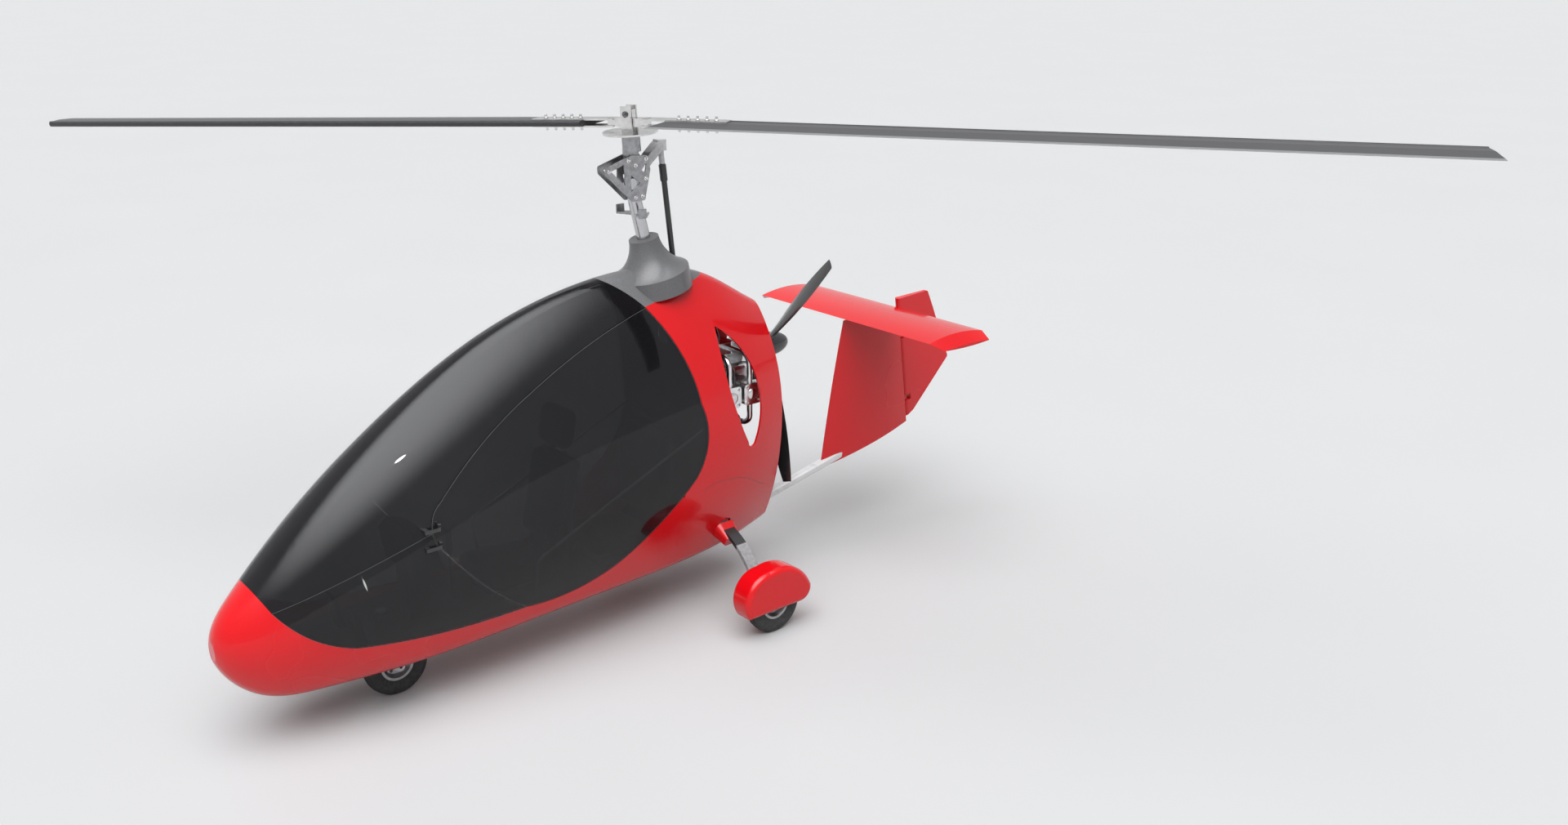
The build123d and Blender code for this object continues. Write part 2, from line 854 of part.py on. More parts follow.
# Bearing block tilting between the cheek plates
head_half = flat_half - 6
with BuildPart() as head_block:
    with BuildSketch(Plane.YZ):
        with BuildLine():
            Polyline(
                (head_y - 34, pivot_z - 34),
                (head_y + 34, pivot_z - 34),
                (head_y + 34, 2740),
                (head_y - 34, 2740),
                close=True,
            )
        make_face()
    extrude(amount=head_half, both=True)
    with BuildSketch(rotor_plane.offset(housing_top)):
        Circle(50)
    extrude(amount=-housing_depth)
    with BuildSketch(rotor_plane.offset(housing_top)):
        Circle(spindle_radius + run_fit)
    extrude(amount=-housing_depth + 14, mode=Mode.SUBTRACT)
    with BuildSketch(Plane.YZ):
        with Locations((head_y, pivot_z)):
            Circle(pivot_radius + run_fit)
    extrude(amount=far / 10, both=True, mode=Mode.SUBTRACT)
head_block.part.label = "head_block"
export_step(head_block.part, "parts/head_block.step")

# Brake disc with the teeter tower on the turning spindle
lug_gap = 27
lug_thick = 14
lug_half = 30
lug_top = teeter_rise + 40
teeter_radius = 8
with BuildPart() as rotor_disc:
    with BuildSketch(rotor_plane.offset(disc_top)):
        Circle(disc_radius)
    extrude(amount=-disc_thick)
    with BuildSketch(rotor_plane.offset(disc_top - disc_thick)):
        Circle(spindle_radius)
    extrude(amount=-housing_depth + 12)
    with BuildSketch(rotor_plane.offset(disc_top)):
        for side in (1, -1):
            with Locations((0, side * (lug_gap + lug_thick / 2))):
                Rectangle(lug_half * 2, lug_thick)
    extrude(amount=lug_top - disc_top)
    with BuildSketch(Plane(rotor_plane.origin + rotor_plane.z_dir * teeter_rise, z_dir=rotor_plane.y_dir)):
        Circle(teeter_radius)
    extrude(amount=lug_gap + lug_thick, both=True)
rotor_disc.part.label = "rotor_disc"
export_step(rotor_disc.part, "parts/rotor_disc.step")

# Hub bar: riser on the teeter pin, upper and lower plates clamping each blade root
plate_half = 36
plate_thick = 9
plate_start = 84
plate_end = 582
bar_half = lug_gap - 5
droop = math.radians(blade_droop)
span_vec = rotor_plane.x_dir
up_vec = rotor_plane.z_dir
arm_planes = []
for side in (1, -1):
    along = span_vec * side * math.cos(droop) - up_vec * math.sin(droop)
    upward = up_vec * math.cos(droop) + span_vec * side * math.sin(droop)
    arm_planes.append(Plane(rotor_plane.origin, x_dir=along, z_dir=upward))
with BuildPart() as hub_bar:
    with BuildSketch(rotor_plane.offset(-blade_thick / 2 - plate_thick)):
        Rectangle(240, bar_half * 2)
    extrude(amount=blade_thick + 2 * plate_thick)
    with BuildSketch(rotor_plane):
        Rectangle(lug_half * 2, bar_half * 2)
    extrude(amount=teeter_rise + 22)
    for arm in arm_planes:
        for level in (blade_thick / 2, -blade_thick / 2 - plate_thick):
            with BuildSketch(arm.offset(level)):
                with Locations(((plate_start + plate_end) / 2, 0)):
                    Rectangle(plate_end - plate_start, plate_half * 2)
            extrude(amount=plate_thick)
    with BuildSketch(Plane(rotor_plane.origin + rotor_plane.z_dir * teeter_rise, z_dir=rotor_plane.y_dir)):
        Circle(teeter_radius + run_fit)
    extrude(amount=bar_half * 2, both=True, mode=Mode.SUBTRACT)
hub_bar.part.label = "hub_bar"
export_step(hub_bar.part, "parts/hub_bar.step")

# Rotor blades with slanted root and tip
blade_root = 170
root_slant = 100
tip_slant = 60
lead_share = 0.28
for index, arm in enumerate(arm_planes):
    lead = blade_chord * lead_share
    trail = lead - blade_chord
    with BuildPart() as blade:
        with BuildSketch(Plane(arm.origin, x_dir=arm.y_dir, z_dir=arm.x_dir)):
            with BuildLine():
                flat = lead - blade_thick
                ThreePointArc((flat, blade_thick / 2), (lead, 0), (flat, -blade_thick / 2))
                Polyline(
                    (flat, -blade_thick / 2),
                    (-plate_half, -blade_thick / 2),
                    (trail, -2),
                    (trail, 2),
                    (-plate_half, blade_thick / 2),
                    (flat, blade_thick / 2),
                )
            make_face()
        extrude(amount=rotor_radius)
        with BuildSketch(arm.offset(-100)):
            with BuildLine():
                Polyline(
                    (blade_root + root_slant, lead),
                    (rotor_radius - tip_slant, lead),
                    (rotor_radius, trail),
                    (blade_root, trail),
                    close=True,
                )
            make_face()
        extrude(amount=200, mode=Mode.INTERSECT)
    blade.part.label = "rotor_blade_" + str(index + 1)
    export_step(blade.part, "parts/rotor_blade_" + str(index + 1) + ".step")

# Shaft that spins up the rotor, with its small gearbox on a bracket behind the cheek plates
gearbox_y = 158
gearbox_z = 2690
gearbox_height = 60
with BuildPart() as prerotator:
    with BuildLine() as shaft_line:
        Line(shaft_foot, shaft_top)
    with BuildSketch(Plane(origin=shaft_line.line @ 0, z_dir=shaft_line.line % 0)):
        Circle(shaft_radius)
    sweep(path=shaft_line.line)
    with BuildSketch(Plane(origin=shaft_line.line @ 0.74, z_dir=shaft_line.line % 0.74)):
        Circle(shaft_radius + 5)
    extrude(amount=90)
    with BuildSketch(Plane.XY.offset(gearbox_z)):
        with Locations((0, gearbox_y)):
            RectangleRounded(52, 60, 8)
    extrude(amount=gearbox_height)
    with BuildSketch(Plane.YZ):
        with BuildLine():
            Polyline((40, 2616), (64, 2616), (150, 2692), (150, 2738), (130, 2738), (40, 2656), close=True)
        make_face()
    extrude(amount=flat_half, both=True)
    with BuildSketch(Plane.XY.offset(2600)):
        with Locations((0, 46)):
            Rectangle(2 * head_half + 2, 60)
    extrude(amount=120, mode=Mode.SUBTRACT)
prerotator.part.label = "prerotator"
export_step(prerotator.part, "parts/prerotator.step")

# Engine frame on the bulkhead with the mast step and the leg clamps
frame_y = bulkhead_y + bulkhead_thick
block_front = 330
mount_x = 86
with BuildPart() as engine_frame:
    with BuildSketch(Plane.XY.offset(beam_top)):
        with Locations((0, frame_y + 60)):
            Rectangle(240, 120)
    extrude(amount=-36)
    for side in (1, -1):
        with BuildSketch(Plane.XZ.offset(-frame_y)):
            with Locations((side * mount_x, 1180)):
                RectangleRounded(40, 50, 8)
            with Locations((side * mount_x, 1340)):
                RectangleRounded(40, 50, 8)
        extrude(amount=-(block_front - frame_y))
        with BuildSketch(Plane.XZ.offset(-frame_y)):
            with Locations((side * 150, leg_root[1])):
                Rectangle(46, leg_thick + 40)
        extrude(amount=-(main_y - leg_width / 2 - frame_y))
engine_frame.part.label = "engine_frame"
export_step(engine_frame.part, "parts/engine_frame.step")

# Engine block with reduction gear and the propeller shaft
block_rear = 650
block_half = 116
prop_shaft_radius = 22
gear_rear = 812
with BuildPart() as engine_block:
    with BuildSketch(Plane.XZ.offset(-block_front)):
        with Locations((0, 1270)):
            RectangleRounded(block_half * 2, 250, 30)
    extrude(amount=-(block_rear - block_front))
    with BuildSketch(Plane.XZ.offset(-block_rear)):
        with Locations((0, prop_z)):
            Circle(92)
        with Locations((0, 1300)):
            Circle(104)
    extrude(amount=-(gear_rear - block_rear))
    with BuildSketch(Plane.XZ.offset(-block_rear)):
        with Locations((0, prop_z)):
            Circle(prop_shaft_radius)
    extrude(amount=-(prop_y - block_rear))
engine_block.part.label = "engine_block"
export_step(engine_block.part, "parts/engine_block.step")

# Opposed cylinders with cooling fins
cylinder_z = 1270
cylinder_rows = [(side, station) for side in (1, -1) for station in (415, 565)]
fin_count = 6
with BuildPart() as engine_cylinders:
    for side, station in cylinder_rows:
        with BuildSketch(Plane.YZ.offset(side * block_half)):
            with Locations((station, cylinder_z)):
                Circle(52)
        extrude(amount=side * 130)
        for fin in range(fin_count):
            with BuildSketch(Plane.YZ.offset(side * (block_half + 12 + fin * 17))):
                with Locations((station, cylinder_z)):
                    RectangleRounded(136, 136, 20)
            extrude(amount=side * 7)
        with BuildSketch(Plane.YZ.offset(side * (block_half + 112))):
            with Locations((station, cylinder_z)):
                RectangleRounded(128, 128, 24)
        extrude(amount=side * 66)
engine_cylinders.part.label = "engine_cylinders"
export_step(engine_cylinders.part, "parts/engine_cylinders.step")

# Intake plenum with runners above, exhaust pipes and silencer below
head_x = block_half + 145
pipe_radius = 17
plenum_z = 1500
silencer_z = 1080
silencer_y = 490
with BuildPart() as intake_pipes:
    with BuildSketch(Plane.XY.offset(plenum_z - 36)):
        with Locations((0, silencer_y)):
            RectangleRounded(150, 230, 30)
    extrude(amount=72)
    for side, station in cylinder_rows:
        with BuildLine() as runner:
            FilletPolyline(
                (side * head_x, station, cylinder_z + 64),
                (side * head_x, station, plenum_z),
                (side * 40, station, plenum_z),
                radius=60,
            )
        with BuildSketch(Plane(origin=runner.line @ 0, z_dir=runner.line % 0)):
            Circle(pipe_radius)
        sweep(path=runner.line)
intake_pipes.part.label = "intake_pipes"
export_step(intake_pipes.part, "parts/intake_pipes.step")

with BuildPart() as exhaust_pipes:
    with BuildSketch(Plane.YZ.offset(-190)):
        with Locations((silencer_y, silencer_z)):
            Circle(62)
    extrude(amount=380)
    for side, station in cylinder_rows:
        with BuildLine() as header:
            FilletPolyline(
                (side * head_x, station, cylinder_z - 64),
                (side * head_x, station, silencer_z),
                (side * 150, (station + silencer_y) / 2, silencer_z),
                radius=50,
            )
        with BuildSketch(Plane(origin=header.line @ 0, z_dir=header.line % 0)):
            Circle(pipe_radius)
        sweep(path=header.line)
exhaust_pipes.part.label = "exhaust_pipes"
export_step(exhaust_pipes.part, "parts/exhaust_pipes.step")

# Three-bladed pusher propeller and its spinner
hub_radius = 74
hub_front = 846
hub_rear = 922
# Blade sections: radius, chord, thickness, pitch
prop_rows = [(40, 74, 44, 58), (330, 118, 20, 34), (prop_radius, 62, 7, 17)]
with BuildPart() as prop_blades:
    with BuildSketch(Plane.XZ.offset(-hub_front)):
        with Locations((0, prop_z)):
            Circle(hub_radius)
    extrude(amount=-(hub_rear - hub_front))
    for count in range(3):
        angle = math.radians(prop_turn + 120 * count)
        out = Vector(math.sin(angle), 0, math.cos(angle))
        side_vec = Vector(math.cos(angle), 0, -math.sin(angle))
        faces_list = []
        for radius, chord, thick, pitch in prop_rows:
            lean = math.radians(pitch)
            chord_vec = side_vec * math.cos(lean) - Vector(0, 1, 0) * math.sin(lean)
            lens_plane = Plane(Vector(0, prop_y, prop_z) + out * radius, x_dir=chord_vec, z_dir=out)
            with BuildSketch(lens_plane, mode=Mode.PRIVATE) as lens:
                with BuildLine():
                    ThreePointArc((-chord / 2, 0), (0, thick * 0.62), (chord / 2, 0))
                    ThreePointArc((chord / 2, 0), (0, -thick * 0.38), (-chord / 2, 0))
                make_face()
            faces_list.append(lens.sketch.face())
        loft(faces_list)
    with BuildSketch(Plane.XZ.offset(-hub_front)):
        with Locations((0, prop_z)):
            Circle(prop_shaft_radius + run_fit)
    extrude(amount=-(prop_y + 4 - hub_front), mode=Mode.SUBTRACT)
prop_blades.part.label = "prop_blades"
export_step(prop_blades.part, "parts/prop_blades.step")

spinner_end = 1072
with BuildPart() as spinner:
    with BuildSketch(Plane.YZ):
        with BuildLine():
            ogive = EllipticalCenterArc(
                (hub_rear, prop_z), spinner_end - hub_rear, hub_radius, start_angle=6, arc_size=84
            )
            Polyline(ogive @ 1, (hub_rear, prop_z), ((ogive @ 0).X, prop_z), ogive @ 0)
        make_face()
    revolve(axis=Axis((0, hub_rear, prop_z), (0, 1, 0)))
spinner.part.label = "spinner"
export_step(spinner.part, "parts/spinner.step")

# Keel boom, level inside the hull and rising to the fin
boom_end = 1740
boom_bend = 520
boom_bend_z = boom_z + (boom_bend - boom_y) * boom_rise
boom_end_z = boom_z + (boom_end - boom_y) * boom_rise
with BuildPart() as tail_boom:
    with BuildLine() as boom_line:
        FilletPolyline(
            (0, frame_y, boom_bend_z),
            (0, boom_bend, boom_bend_z),
            (0, boom_end, boom_end_z),
            radius=400,
        )
    with BuildSketch(Plane(origin=boom_line.line @ 0, x_dir=(1, 0, 0), z_dir=boom_line.line % 0)):
        RectangleRounded(boom_width, boom_height, 12)
    sweep(path=boom_line.line)
tail_boom.part.label = "tail_boom"
export_step(tail_boom.part, "parts/tail_boom.step")

# Fin: height, leading edge, thickness
hinge_slope = (hinge_top_y - hinge_foot_y) / (hinge_top_z - hinge_foot_z)
hinge_nose = 22
hinge_gap = 6
fin_top = stab_z - stab_thick / 2 + 4
fin_rows = [(440, 1352, 100), (900, 1430, 84), (fin_top, 1552, 58)]
pin_radius = 5
lug_height = 30
hinge_lugs = (840, 1290)
hinge_dir = Vector(0, hinge_slope, 1).normalized()


def hinge_at(height):
    return hinge_foot_y + (height - hinge_foot_z) * hinge_slope


boom_under = boom_height / 2 + 5
with BuildPart() as fin:
    fin_faces = []
    for height, lead, thick in fin_rows:
        tail = hinge_at(height) - hinge_nose - hinge_gap
        with BuildSketch(Plane.XY.offset(height), mode=Mode.PRIVATE) as slice_sketch:
            with BuildLine():
                belly = lead + 0.45 * (tail - lead)
                ThreePointArc((2, lead), (thick / 2, belly), (hinge_nose, tail))
                Line((hinge_nose, tail), (-hinge_nose, tail))
                ThreePointArc((-hinge_nose, tail), (-thick / 2, belly), (-2, lead))
                Line((-2, lead), (2, lead))
            make_face()
        fin_faces.append(slice_sketch.sketch.face())
    loft(fin_faces)
    with BuildSketch(Plane.YZ):
        with BuildLine():
            Polyline(
                (boom_y, boom_z - boom_under),
                (hinge_foot_y + 200, boom_z - boom_under + (hinge_foot_y + 200 - boom_y) * boom_rise),
                (hinge_foot_y + 200, far),
                (boom_y, far),
                close=True,
            )
        make_face()
    extrude(amount=200, both=True, mode=Mode.INTERSECT)
    for height in hinge_lugs:
        centre = Vector(0, hinge_at(height), height)
        lug_plane = Plane(centre, x_dir=(1, 0, 0), z_dir=hinge_dir)
        with BuildSketch(lug_plane.offset(-lug_height / 2)):
            with Locations((0, -hinge_nose)):
                Rectangle(18, hinge_nose * 2)
            Circle(9)
        extrude(amount=lug_height)
        with BuildSketch(lug_plane.offset(-lug_height)):
            Circle(pin_radius)
        extrude(amount=lug_height * 2)
    with BuildLine() as boom_core:
        Line((0, boom_y, boom_z), (0, boom_end + 0.4, boom_z + (boom_end + 0.4 - boom_y) * boom_rise))
    with BuildSketch(Plane(origin=boom_core.line @ 0, x_dir=(1, 0, 0), z_dir=boom_core.line % 0)):
        RectangleRounded(boom_width + 2 * fit, boom_height + 2 * fit, 12)
    sweep(path=boom_core.line, mode=Mode.SUBTRACT)
fin.part.label = "fin"
export_step(fin.part, "parts/fin.step")

# Rudder on the hinge line, reaching up behind the stabiliser
with BuildPart() as rudder:
    with BuildSketch(Plane(Vector(0, hinge_foot_y, hinge_foot_z), x_dir=(1, 0, 0), z_dir=hinge_dir)):
        with BuildLine():
            ThreePointArc((-hinge_nose, 0), (0, -hinge_nose), (hinge_nose, 0))
            Polyline((hinge_nose, 0), (3, 520), (-3, 520), (-hinge_nose, 0))
        make_face()
    extrude(amount=1200, both=True)
    with BuildSketch(Plane.YZ):
        with BuildLine():
            FilletPolyline(
                (hinge_foot_y - 40, hinge_foot_z - 8),
                (hinge_foot_y + 46, hinge_foot_z + 37),
                (2540, 1056),
                (2372, 1430),
                (2310, hinge_top_z + 14),
                (hinge_top_y - 60, hinge_top_z),
                radius=18,
                close=True,
            )
        make_face()
    extrude(amount=far / 10, both=True, mode=Mode.INTERSECT)
    for height in hinge_lugs:
        centre = Vector(0, hinge_at(height), height)
        lug_plane = Plane(centre, x_dir=(1, 0, 0), z_dir=hinge_dir)
        with BuildSketch(lug_plane.offset(-lug_height / 2 - 5)):
            Rectangle(120, 2 * (hinge_nose + 8))
        extrude(amount=lug_height + 10, mode=Mode.SUBTRACT)
        with BuildSketch(lug_plane.offset(-lug_height - 2)):
            Circle(pin_radius + run_fit)
        extrude(amount=lug_height * 2 + 4, mode=Mode.SUBTRACT)
rudder.part.label = "rudder"
export_step(rudder.part, "parts/rudder.step")

# Stabiliser on top of the fin with drooped tips
tip_width = 62
tip_drop = 44
stab_peak = stab_front + 170
with BuildPart() as stabiliser:
    for side in (1, -1):
        stab_faces = []
        for across in (0, stab_span - tip_width):
            with BuildSketch(Plane.YZ.offset(side * across), mode=Mode.PRIVATE) as foil:
                with BuildLine():
                    crest = stab_z + stab_thick / 2
                    keel = stab_z - stab_thick / 2
                    ThreePointArc((stab_rear, stab_z + 3), (stab_peak, crest), (stab_front, stab_z))
                    ThreePointArc((stab_front, stab_z), (stab_peak, keel), (stab_rear, stab_z - 3))
                    Line((stab_rear, stab_z - 3), (stab_rear, stab_z + 3))
                make_face()
            stab_faces.append(foil.sketch.face())
        loft(stab_faces, ruled=True)
        with BuildSketch(Plane.YZ.offset(side * stab_span), mode=Mode.PRIVATE) as tip_foil:
            with BuildLine():
                low = stab_z - tip_drop
                ThreePointArc((stab_rear, low + 2), (stab_front + 230, low + 9), (stab_front + 70, low))
                ThreePointArc((stab_front + 70, low), (stab_front + 230, low - 9), (stab_rear, low - 2))
                Line((stab_rear, low - 2), (stab_rear, low + 2))
            make_face()
        loft([stab_faces[1], tip_foil.sketch.face()], ruled=True)
    add(fin.part, mode=Mode.SUBTRACT)
stabiliser.part.label = "stabiliser"
export_step(stabiliser.part, "parts/stabiliser.step")
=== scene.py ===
import math

import bmesh
import bpy
from mathutils import Matrix, Vector


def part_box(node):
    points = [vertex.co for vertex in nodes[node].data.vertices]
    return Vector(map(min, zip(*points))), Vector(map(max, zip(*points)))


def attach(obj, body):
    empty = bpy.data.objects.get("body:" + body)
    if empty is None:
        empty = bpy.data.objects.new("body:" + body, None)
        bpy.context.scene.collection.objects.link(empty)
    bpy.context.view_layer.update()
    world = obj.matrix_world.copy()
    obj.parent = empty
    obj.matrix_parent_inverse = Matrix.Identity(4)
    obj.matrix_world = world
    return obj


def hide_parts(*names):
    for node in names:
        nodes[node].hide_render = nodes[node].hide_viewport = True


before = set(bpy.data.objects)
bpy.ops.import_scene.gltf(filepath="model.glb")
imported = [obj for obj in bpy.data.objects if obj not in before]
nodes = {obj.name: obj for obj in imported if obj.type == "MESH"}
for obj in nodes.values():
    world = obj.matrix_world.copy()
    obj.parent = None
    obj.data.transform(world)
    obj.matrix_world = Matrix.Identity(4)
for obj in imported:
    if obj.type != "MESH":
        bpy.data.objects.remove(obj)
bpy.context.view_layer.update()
print("frame loaded:", len(nodes), "nodes")

bpy.context.scene.view_settings.view_transform = "Standard"


# node helpers for the finishes
def startMaterial(name):
    material = bpy.data.materials.new(name)
    material.use_nodes = True
    tree = material.node_tree
    return material, tree, tree.nodes["Principled BSDF"]


def noiseAt(tree, scale, detail, stretch=(1, 1, 1)):
    coords = tree.nodes.new("ShaderNodeTexCoord")
    mapping = tree.nodes.new("ShaderNodeMapping")
    mapping.inputs["Scale"].default_value = stretch
    noise = tree.nodes.new("ShaderNodeTexNoise")
    noise.inputs["Scale"].default_value = scale
    noise.inputs["Detail"].default_value = detail
    tree.links.new(coords.outputs["Object"], mapping.inputs["Vector"])
    tree.links.new(mapping.outputs["Vector"], noise.inputs["Vector"])
    return noise.outputs["Fac"]


def rampFrom(tree, socket, stops):
    ramp = tree.nodes.new("ShaderNodeValToRGB")
    for element, (place, colour) in zip(ramp.color_ramp.elements, stops):
        element.position = place
        element.color = (*colour, 1)
    tree.links.new(socket, ramp.inputs["Fac"])
    return ramp.outputs["Color"]


def colourFrom(tree, shader, socket, stops):
    tree.links.new(rampFrom(tree, socket, stops), shader.inputs["Base Color"])


def bumpFrom(tree, shader, socket, strength, distance):
    bump = tree.nodes.new("ShaderNodeBump")
    bump.inputs["Strength"].default_value = strength
    bump.inputs["Distance"].default_value = distance
    tree.links.new(socket, bump.inputs["Height"])
    tree.links.new(bump.outputs["Normal"], shader.inputs["Normal"])


def roughFrom(tree, shader, socket, span):
    spread = tree.nodes.new("ShaderNodeMapRange")
    spread.inputs["To Min"].default_value = span[0]
    spread.inputs["To Max"].default_value = span[1]
    tree.links.new(socket, spread.inputs["Value"])
    tree.links.new(spread.outputs["Result"], shader.inputs["Roughness"])


def scaledColour(colour, factor):
    return tuple(channel * factor for channel in colour)


# red gel coat of the hull, tail and spats
redPaintLook = {
    "colour": (0.52, 0.001, 0.004), "fade": 0.84, "drift": 1.6, "rough": (0.22, 0.30),
    "specular": 0.25, "coat": 0.42, "coatRough": 0.03, "peel": 45, "peelBump": (0.012, 0.0006),
}


def redPaint():
    material, tree, shader = startMaterial("redPaint")
    drift = noiseAt(tree, redPaintLook["drift"], 2)
    faded = scaledColour(redPaintLook["colour"], redPaintLook["fade"])
    colourFrom(tree, shader, drift, [(0.0, faded), (1.0, redPaintLook["colour"])])
    roughFrom(tree, shader, drift, redPaintLook["rough"])
    shader.inputs["Specular IOR Level"].default_value = redPaintLook["specular"]
    shader.inputs["Coat Weight"].default_value = redPaintLook["coat"]
    shader.inputs["Coat Roughness"].default_value = redPaintLook["coatRough"]
    peel = noiseAt(tree, redPaintLook["peel"], 1)
    bumpFrom(tree, shader, peel, *redPaintLook["peelBump"])  # faint orange peel
    return material


# smoked sheet of the windscreen, doors and nose windows
glazingLook = {
    "dark": (0.004, 0.004, 0.005), "light": (0.009, 0.009, 0.010), "drift": 0.9,
    "rough": (0.03, 0.07), "specular": 0.44, "alpha": 0.72,
}


def tintedGlazing():
    material, tree, shader = startMaterial("tintedGlazing")
    drift = noiseAt(tree, glazingLook["drift"], 1)
    colourFrom(tree, shader, drift, [(0.3, glazingLook["dark"]), (0.7, glazingLook["light"])])
    roughFrom(tree, shader, drift, glazingLook["rough"])
    shader.inputs["Specular IOR Level"].default_value = glazingLook["specular"]
    shader.inputs["Alpha"].default_value = glazingLook["alpha"]
    return material


# moulded and painted finishes with a fine grain
mouldedLooks = {
    "greyCover": {
        "dark": (0.085, 0.085, 0.088), "light": (0.115, 0.115, 0.118),
        "rough": (0.34, 0.44), "grain": 180, "bump": 0.05, "coat": 0.15,
    },
    "cabinBlack": {
        "dark": (0.014, 0.014, 0.015), "light": (0.024, 0.024, 0.025),
        "rough": (0.5, 0.65), "grain": 320, "bump": 0.15, "coat": 0.0,
    },
    "blackMetal": {
        "dark": (0.012, 0.012, 0.013), "light": (0.022, 0.022, 0.023),
        "rough": (0.3, 0.42), "grain": 140, "bump": 0.06, "coat": 0.2,
    },
    "sealGrey": {
        "dark": (0.07, 0.07, 0.07), "light": (0.10, 0.10, 0.10),
        "rough": (0.4, 0.5), "grain": 200, "bump": 0.05, "coat": 0.0,
    },
    "carbonBlack": {
        "dark": (0.008, 0.008, 0.009), "light": (0.018, 0.018, 0.019),
        "rough": (0.16, 0.28), "grain": 90, "bump": 0.03, "coat": 0.5,
    },
    "boomWhite": {
        "dark": (0.50, 0.50, 0.50), "light": (0.54, 0.54, 0.54),
        "rough": (0.24, 0.32), "grain": 12, "bump": 0.03, "coat": 0.4,
    },
    "beltWeave": {
        "dark": (0.05, 0.05, 0.052), "light": (0.09, 0.09, 0.092),
        "rough": (0.6, 0.8), "grain": 420, "bump": 0.3, "coat": 0.0,
    },
    "tyreRubber": {
        "dark": (0.012, 0.012, 0.012), "light": (0.030, 0.030, 0.029),
        "rough": (0.62, 0.8), "grain": 60, "bump": 0.12, "coat": 0.0,
    },
}


def mouldedFinish(name, look):
    material, tree, shader = startMaterial(name)
    speck = noiseAt(tree, look["grain"], 5)
    colourFrom(tree, shader, speck, [(0.35, look["dark"]), (0.65, look["light"])])
    roughFrom(tree, shader, speck, look["rough"])
    shader.inputs["Coat Weight"].default_value = look["coat"]
    bumpFrom(tree, shader, speck, look["bump"], 0.0008)
    return material


# bare metals; a stretch below 1 draws the brush lines out along Z
metalLooks = {
    "brushedSteel": {
        "dark": (0.50, 0.50, 0.51), "light": (0.57, 0.57, 0.58),
        "rough": (0.18, 0.26), "stretch": (1, 1, 0.06), "grain": 220, "bump": 0.02,
    },
    "satinAlloy": {
        "dark": (0.27, 0.27, 0.28), "light": (0.42, 0.42, 0.43),
        "rough": (0.26, 0.4), "stretch": (1, 1, 1), "grain": 40, "bump": 0.04,
    },
    "engineAlloy": {
        "dark": (0.66, 0.66, 0.67), "light": (0.86, 0.86, 0.86),
        "rough": (0.16, 0.3), "stretch": (1, 1, 1), "grain": 30, "bump": 0.04,
    },
    "brightSteel": {
        "dark": (0.60, 0.59, 0.58), "light": (0.78, 0.77, 0.76),
        "rough": (0.1, 0.2), "stretch": (1, 1, 1), "grain": 24, "bump": 0.04,
    },
    "darkSteel": {
        "dark": (0.10, 0.10, 0.105), "light": (0.18, 0.18, 0.185),
        "rough": (0.3, 0.45), "stretch": (1, 1, 1), "grain": 60, "bump": 0.04,
    },
}


def metalFinish(name, look):
    material, tree, shader = startMaterial(name)
    brush = noiseAt(tree, look["grain"], 6, look["stretch"])
    colourFrom(tree, shader, brush, [(0.3, look["dark"]), (0.7, look["light"])])
    shader.inputs["Metallic"].default_value = 1.0
    roughFrom(tree, shader, brush, look["rough"])
    bumpFrom(tree, shader, brush, look["bump"], 0.0004)
    return material


# rotor blade skin: black, with bare metal along the trailing edge
bladeLook = {
    "skin": (0.018, 0.018, 0.020), "skinWorn": (0.034, 0.034, 0.036), "bare": (0.46, 0.46, 0.47),
    "bareStart": 0.146, "bareBlend": 0.004, "streak": 30, "stretch": (1, 1, 6), "rough": (0.26, 0.40),
    "hub": (0.0, -0.035, 2.858), "turn": math.radians(28.58), "tilt": math.radians(3.4),
}
spanDir = Vector((
    math.cos(bladeLook["turn"]),
    math.sin(bladeLook["turn"]),
    math.tan(bladeLook["tilt"]) * math.sin(bladeLook["turn"]),
)).normalized()
rotorUp = Vector((0, -math.sin(bladeLook["tilt"]), math.cos(bladeLook["tilt"])))
leadDir = rotorUp.cross(spanDir).normalized()
hubPoint = Vector(bladeLook["hub"])


def bladeSkin(name, lead):
    material, tree, shader = startMaterial(name)
    coords = tree.nodes.new("ShaderNodeTexCoord")
    shift = tree.nodes.new("ShaderNodeVectorMath")
    shift.operation = "SUBTRACT"
    shift.inputs[1].default_value = hubPoint
    across = tree.nodes.new("ShaderNodeVectorMath")
    across.operation = "DOT_PRODUCT"
    across.inputs[1].default_value = -lead
    edge = tree.nodes.new("ShaderNodeMapRange")
    edge.inputs["From Min"].default_value = bladeLook["bareStart"]
    edge.inputs["From Max"].default_value = bladeLook["bareStart"] + bladeLook["bareBlend"]
    tree.links.new(coords.outputs["Object"], shift.inputs[0])
    tree.links.new(shift.outputs["Vector"], across.inputs[0])
    tree.links.new(across.outputs["Value"], edge.inputs["Value"])
    streak = noiseAt(tree, bladeLook["streak"], 5, bladeLook["stretch"])
    tone = rampFrom(tree, streak, [(0.3, bladeLook["skin"]), (0.7, bladeLook["skinWorn"])])
    mix = tree.nodes.new("ShaderNodeMix")
    mix.data_type = "RGBA"
    mix.inputs["B"].default_value = (*bladeLook["bare"], 1)
    tree.links.new(edge.outputs["Result"], mix.inputs["Factor"])
    tree.links.new(tone, mix.inputs["A"])
    tree.links.new(mix.outputs["Result"], shader.inputs["Base Color"])
    tree.links.new(edge.outputs["Result"], shader.inputs["Metallic"])
    roughFrom(tree, shader, streak, bladeLook["rough"])
    return material


# main legs: black sleeve at the root, grey spring blade below
legLook = {
    "axis": "X", "edge": 0.475, "first": (0.014, 0.014, 0.015),
    "dark": (0.16, 0.16, 0.165), "light": (0.25, 0.25, 0.255),
}
